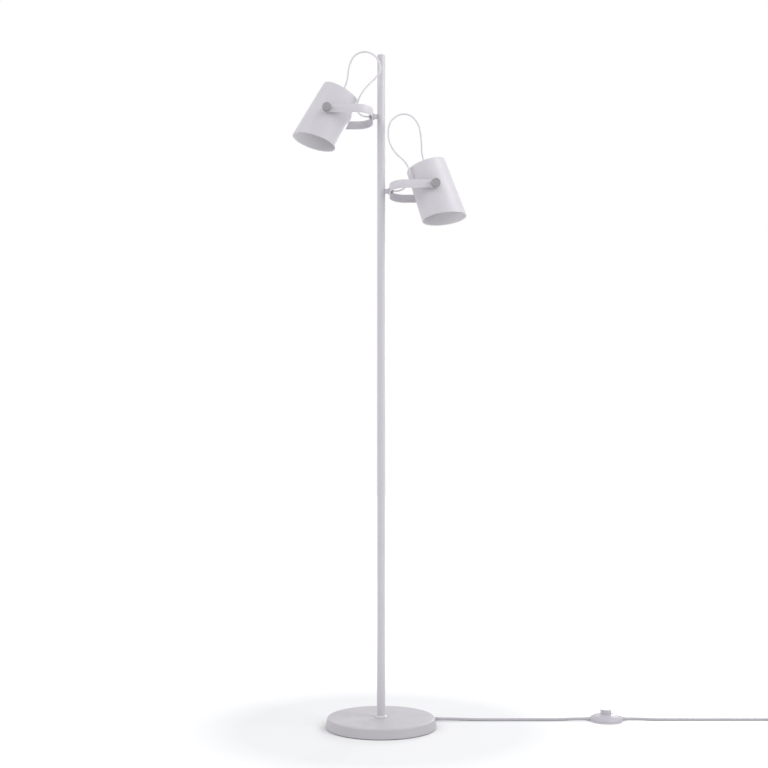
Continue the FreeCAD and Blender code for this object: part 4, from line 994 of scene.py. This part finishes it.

# %% The button's spring
SPRING_LOW, SPRING_HIGH, SPRING_TURNS = 4.05, 10.45, 4
SPRING_R, WIRE_R = 5.5, 0.5
turned = np.linspace(0, SPRING_TURNS, SPRING_TURNS * 20 + 1)
wound = 2 * np.pi * turned
helix = np.column_stack([SPRING_R * np.cos(wound), SPRING_R * np.sin(wound),
                         SPRING_LOW + (SPRING_HIGH - SPRING_LOW) * turned / SPRING_TURNS]) * MM
spring = stand_for(tube_mesh("switch_coil_spring", put(helix, switch_place), WIRE_R * MM, 10),
                   "switch_spring", zinc_plate)
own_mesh(spring)
print("spring", len(spring.data.polygons), "faces")

# %% Strain relief at the base
turned_piece("base_strain_relief", "strain_relief",
             [(0.3, 0), (4.4, 0), (4.4, 9, 0.5), (4.1, 10.5), (4.1, 11.5), (4.2, 12), (4.0, 13.5),
              (3.95, 14.5), (4.05, 15), (3.8, 16.5), (3.75, 17.5), (3.85, 18), (3.6, 19.5), (3.55, 20.5),
              (3.65, 21), (3.35, 26, 0.3), (0.3, 26)], mains_jacket,
             shift(0.101, ROW * MM, EXIT * MM) @ turn_about("Y", 90), ring=False, columns=48)
print("strain relief")

# %% [markdown]
# ## Tie, plug and inner leads
#
# A dark band holds the put-away coil. The plug is a moulded one: its section grows from the round
# lead to a flat grip, so it is a loft of rounded rectangles. The leads inside the tube are hidden,
# but they are leads all the same, so they are smooth curves too.

# %% Plug body as a loft of superellipses
def plug_surface(columns=72):
    """Section at each station: |x / width| ^ n + |y / thick| ^ n = 1, from n = 2 to n = 4.

    A point at an angle a is (width sgn(cos a) |cos a| ^ (2 / n), thick sgn(sin a) |sin a| ^ (2 / n))."""
    station = np.array([0, 3, 6, 9, 11, 13, 16, 18, 20, 22, 24, 26, 28, 32, 35, 36.0])
    width = np.array([3.7, 4.0, 4.6, 6.4, 8.8, 10.6, 11.9, 12.1, 12.2, 12.3, 12.4, 12.5, 12.5, 12.5,
                      12.4, 11.7])
    thick = np.array([3.7, 4.0, 4.5, 5.2, 5.8, 6.3, 6.6, 6.3, 6.7, 6.4, 6.8, 6.5, 7.0, 7.0, 6.9, 6.3])
    power = np.interp(station, [0, 8, 18, 36], [2.0, 2.2, 3.6, 4.2])
    angle = np.linspace(0, 2 * np.pi, columns, endpoint=False)
    cos, sin = np.cos(angle), np.sin(angle)
    bend = (2 / power)[:, None]
    x = width[:, None] * np.sign(cos) * np.abs(cos) ** bend
    y = thick[:, None] * np.sign(sin) * np.abs(sin) ** bend
    return np.stack([x, y, np.broadcast_to(station[:, None], x.shape)], axis=-1)


PIN_SIDE = 0.0093             # each pin stands this far from the plug's middle
plug_place = shift(0.9505, -0.0485, 0.00705) @ turn_about("X", 90)
plug = stand_for(grid_mesh("plug_moulding", put(plug_surface() * MM, plug_place), sharp=50),
                 "plug_body", white_moulding)
pin_profile = rounded([(0.1, 34), (2, 34), (2, 55, 1.1), (0.1, 55)])
pins = [grid_mesh("pin", put(revolved(pin_profile, 32) * MM, plug_place @ shift(side * PIN_SIDE, 0, 0)))
        for side in (-1, 1)]
pins = stand_for(joined("plug_pin_set", pins), "plug_pins", nickel_plate)
print("plug and pins")

# %% Tie round the coil
tie_low, tie_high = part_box("coil_tie")
centre = (np.array(tie_low) + np.array(tie_high)) / 2
BAND_HALF_WIDE, BAND_HALF_THICK = 0.003, 0.0005
half = (np.array(tie_high) - np.array(tie_low)) / 2 - BAND_HALF_THICK


def squared_off(angle, power):
    """Cosine and sine of an angle drawn out towards a rounded square: sign times size ^ power."""
    cos, sin = np.cos(angle), np.sin(angle)
    return np.sign(cos) * np.abs(cos) ** power, np.sign(sin) * np.abs(sin) ** power


path_x, path_z = squared_off(np.linspace(0, 2 * np.pi, 96, endpoint=False), 0.35)
line = centre + np.column_stack([half[0] * path_x, np.zeros(96), half[2] * path_z])
heading = np.roll(line, -1, axis=0) - np.roll(line, 1, axis=0)
heading /= np.linalg.norm(heading, axis=1)[:, None]
outward = np.cross(heading, (0.0, 1.0, 0.0))
flat, deep = squared_off(np.linspace(0, 2 * np.pi, 16, endpoint=False), 0.4)
across = np.array([0.0, BAND_HALF_WIDE, 0.0]) * flat[None, :, None]
band = line[:, None] + outward[:, None] * (deep * BAND_HALF_THICK)[None, :, None] + across
stand_for(grid_mesh("coil_band", band, ring=True, sharp=60), "coil_tie", tie_moulding)
print("tie")

# %% Inner leads
head_routes = []
for side, out, height in ((1, -1, 1355), (-1, 1, 1185)):
    y = side * 1.8
    head_routes.append([(48, ROW + 2 * y, 4.3), (41, ROW + 2 * y, 4.3), (28.8, 40.6 + y, 3.3),
                        (14.4, 18.6 + y, 3.3), (0, y, 3.3), (0, y, 9.7), (0, y, 30),
                        (0, y, height - 14), (out * 0.5, y * 0.6, height - 7),
                        (out * 2.2, 0, height - 1.2), (out * 8, 0, height), (out * 21.8, 0, height)])
tube_leads = lead_curve("tube_leads", head_routes[0], INNER_R)
add_route(tube_leads.data, head_routes[1])
dress_lead(tube_leads, ["head_leads"])
base_route = [(x, ROW, EXIT) for x in (76, 84, 92, 101)]
dress_lead(lead_curve("base_lead", base_route, MAINS_R), ["mains_inner_lead"])
print("inner leads")

# %% [markdown]
# ## The mains lead's two runs
#
# The first run leaves the base and goes into the switch, and the second ends in the plug.

print("mains lead in two runs")

# %% [markdown]
# ## Floor, light and surroundings
#
# The photograph is a clean studio shot: white all round, with only a soft shadow under the base.
# The floor is a pale plane whose own colour does most of the work. For the camera, mirror and glass
# rays a little white is added, so that it reads as white paper where nothing shades it and keeps the
# object's shadow. A large soft lamp stands high on the right, a weaker one on the left and a smaller
# one behind, which throws the faint shadow in front of the base. An even grey-white sky fills the
# rest, so that a colour renders about as it is written.

# %% Floor
floor_mesh = bpy.data.meshes.new("studio_floor")
reach = np.array([-30.0, 30.0])
corner_x, corner_y = np.meshgrid(reach, reach)
corners = np.column_stack([corner_x.ravel(), corner_y.ravel(), np.zeros(4)])
floor_mesh.from_pydata(corners.tolist(), [], [(0, 1, 3, 2)])
floor = new_thing("studio_floor", floor_mesh)


def seen_share(tree):
    """1 for camera, glossy and transmission rays and 0 for the rest."""
    path = tree.nodes.new("ShaderNodeLightPath")
    both = math_node(tree, "MAXIMUM", path.outputs["Is Camera Ray"], path.outputs["Is Glossy Ray"])
    return math_node(tree, "MAXIMUM", both, path.outputs["Is Transmission Ray"])


NEAR_GLOW = 0.05        # makes up what the lamps leave short of white beside the base
paper = bpy.data.materials.new("studio_paper")
paper.use_nodes = True
tree = paper.node_tree
tree.nodes.clear()
matt = tree.nodes.new("ShaderNodeBsdfDiffuse")
matt.inputs["Color"].default_value = (0.82, 0.82, 0.82, 1)
glow = tree.nodes.new("ShaderNodeEmission")
glow.inputs["Color"].default_value = (1, 1, 1, 1)
away = tree.nodes.new("ShaderNodeVectorMath")
away.operation = "LENGTH"
tree.links.new(tree.nodes.new("ShaderNodeTexCoord").outputs["Object"], away.inputs[0])
white = ramp_between(tree, away.outputs["Value"], 0.3, 1.3, NEAR_GLOW, 1.0)
tree.links.new(math_node(tree, "MULTIPLY", seen_share(tree), white), glow.inputs["Strength"])
both = tree.nodes.new("ShaderNodeAddShader")
tree.links.new(matt.outputs[0], both.inputs[0])
tree.links.new(glow.outputs[0], both.inputs[1])
tree.links.new(both.outputs[0], tree.nodes.new("ShaderNodeOutputMaterial").inputs["Surface"])
floor_mesh.materials.append(paper)
print("floor", floor.name)

# %% Surroundings and lamps
world = bpy.data.worlds.new("studio")
bpy.context.scene.world = world
world.use_nodes = True
tree = world.node_tree
tree.nodes.clear()
seen = tree.nodes.new("ShaderNodeBackground")
seen.inputs["Color"].default_value = (1, 1, 1, 1)
seen.inputs["Strength"].default_value = 1.0
fill = tree.nodes.new("ShaderNodeBackground")
fill.inputs["Color"].default_value = (0.97, 0.975, 1.0, 1)
fill.inputs["Strength"].default_value = 0.70
mix = tree.nodes.new("ShaderNodeMixShader")
tree.links.new(seen_share(tree), mix.inputs[0])
tree.links.new(fill.outputs[0], mix.inputs[1])
tree.links.new(seen.outputs[0], mix.inputs[2])
tree.links.new(mix.outputs[0], tree.nodes.new("ShaderNodeOutputWorld").inputs["Surface"])


def soft_lamp(name, spot, aim, size, power):
    """A square area lamp at a spot, turned to an aim."""
    data = bpy.data.lights.new(name, "AREA")
    data.shape = "SQUARE"
    data.size = size
    data.energy = power
    lamp = new_thing(name, data)
    lamp.location = spot
    lamp.rotation_euler = (Vector(aim) - Vector(spot)).to_track_quat("-Z", "Y").to_euler()
    lamp.visible_camera = False


soft_lamp("key_lamp", (2.3, -0.9, 2.6), (0, 0, 1.1), 1.8, 40)
soft_lamp("side_lamp", (-2.3, -1.2, 2.5), (0, 0, 1.1), 1.8, 22)
soft_lamp("rear_lamp", (1.3, 3.0, 1.5), (0, 0, 0), 1.0, 24)
print("world and lamps ready")
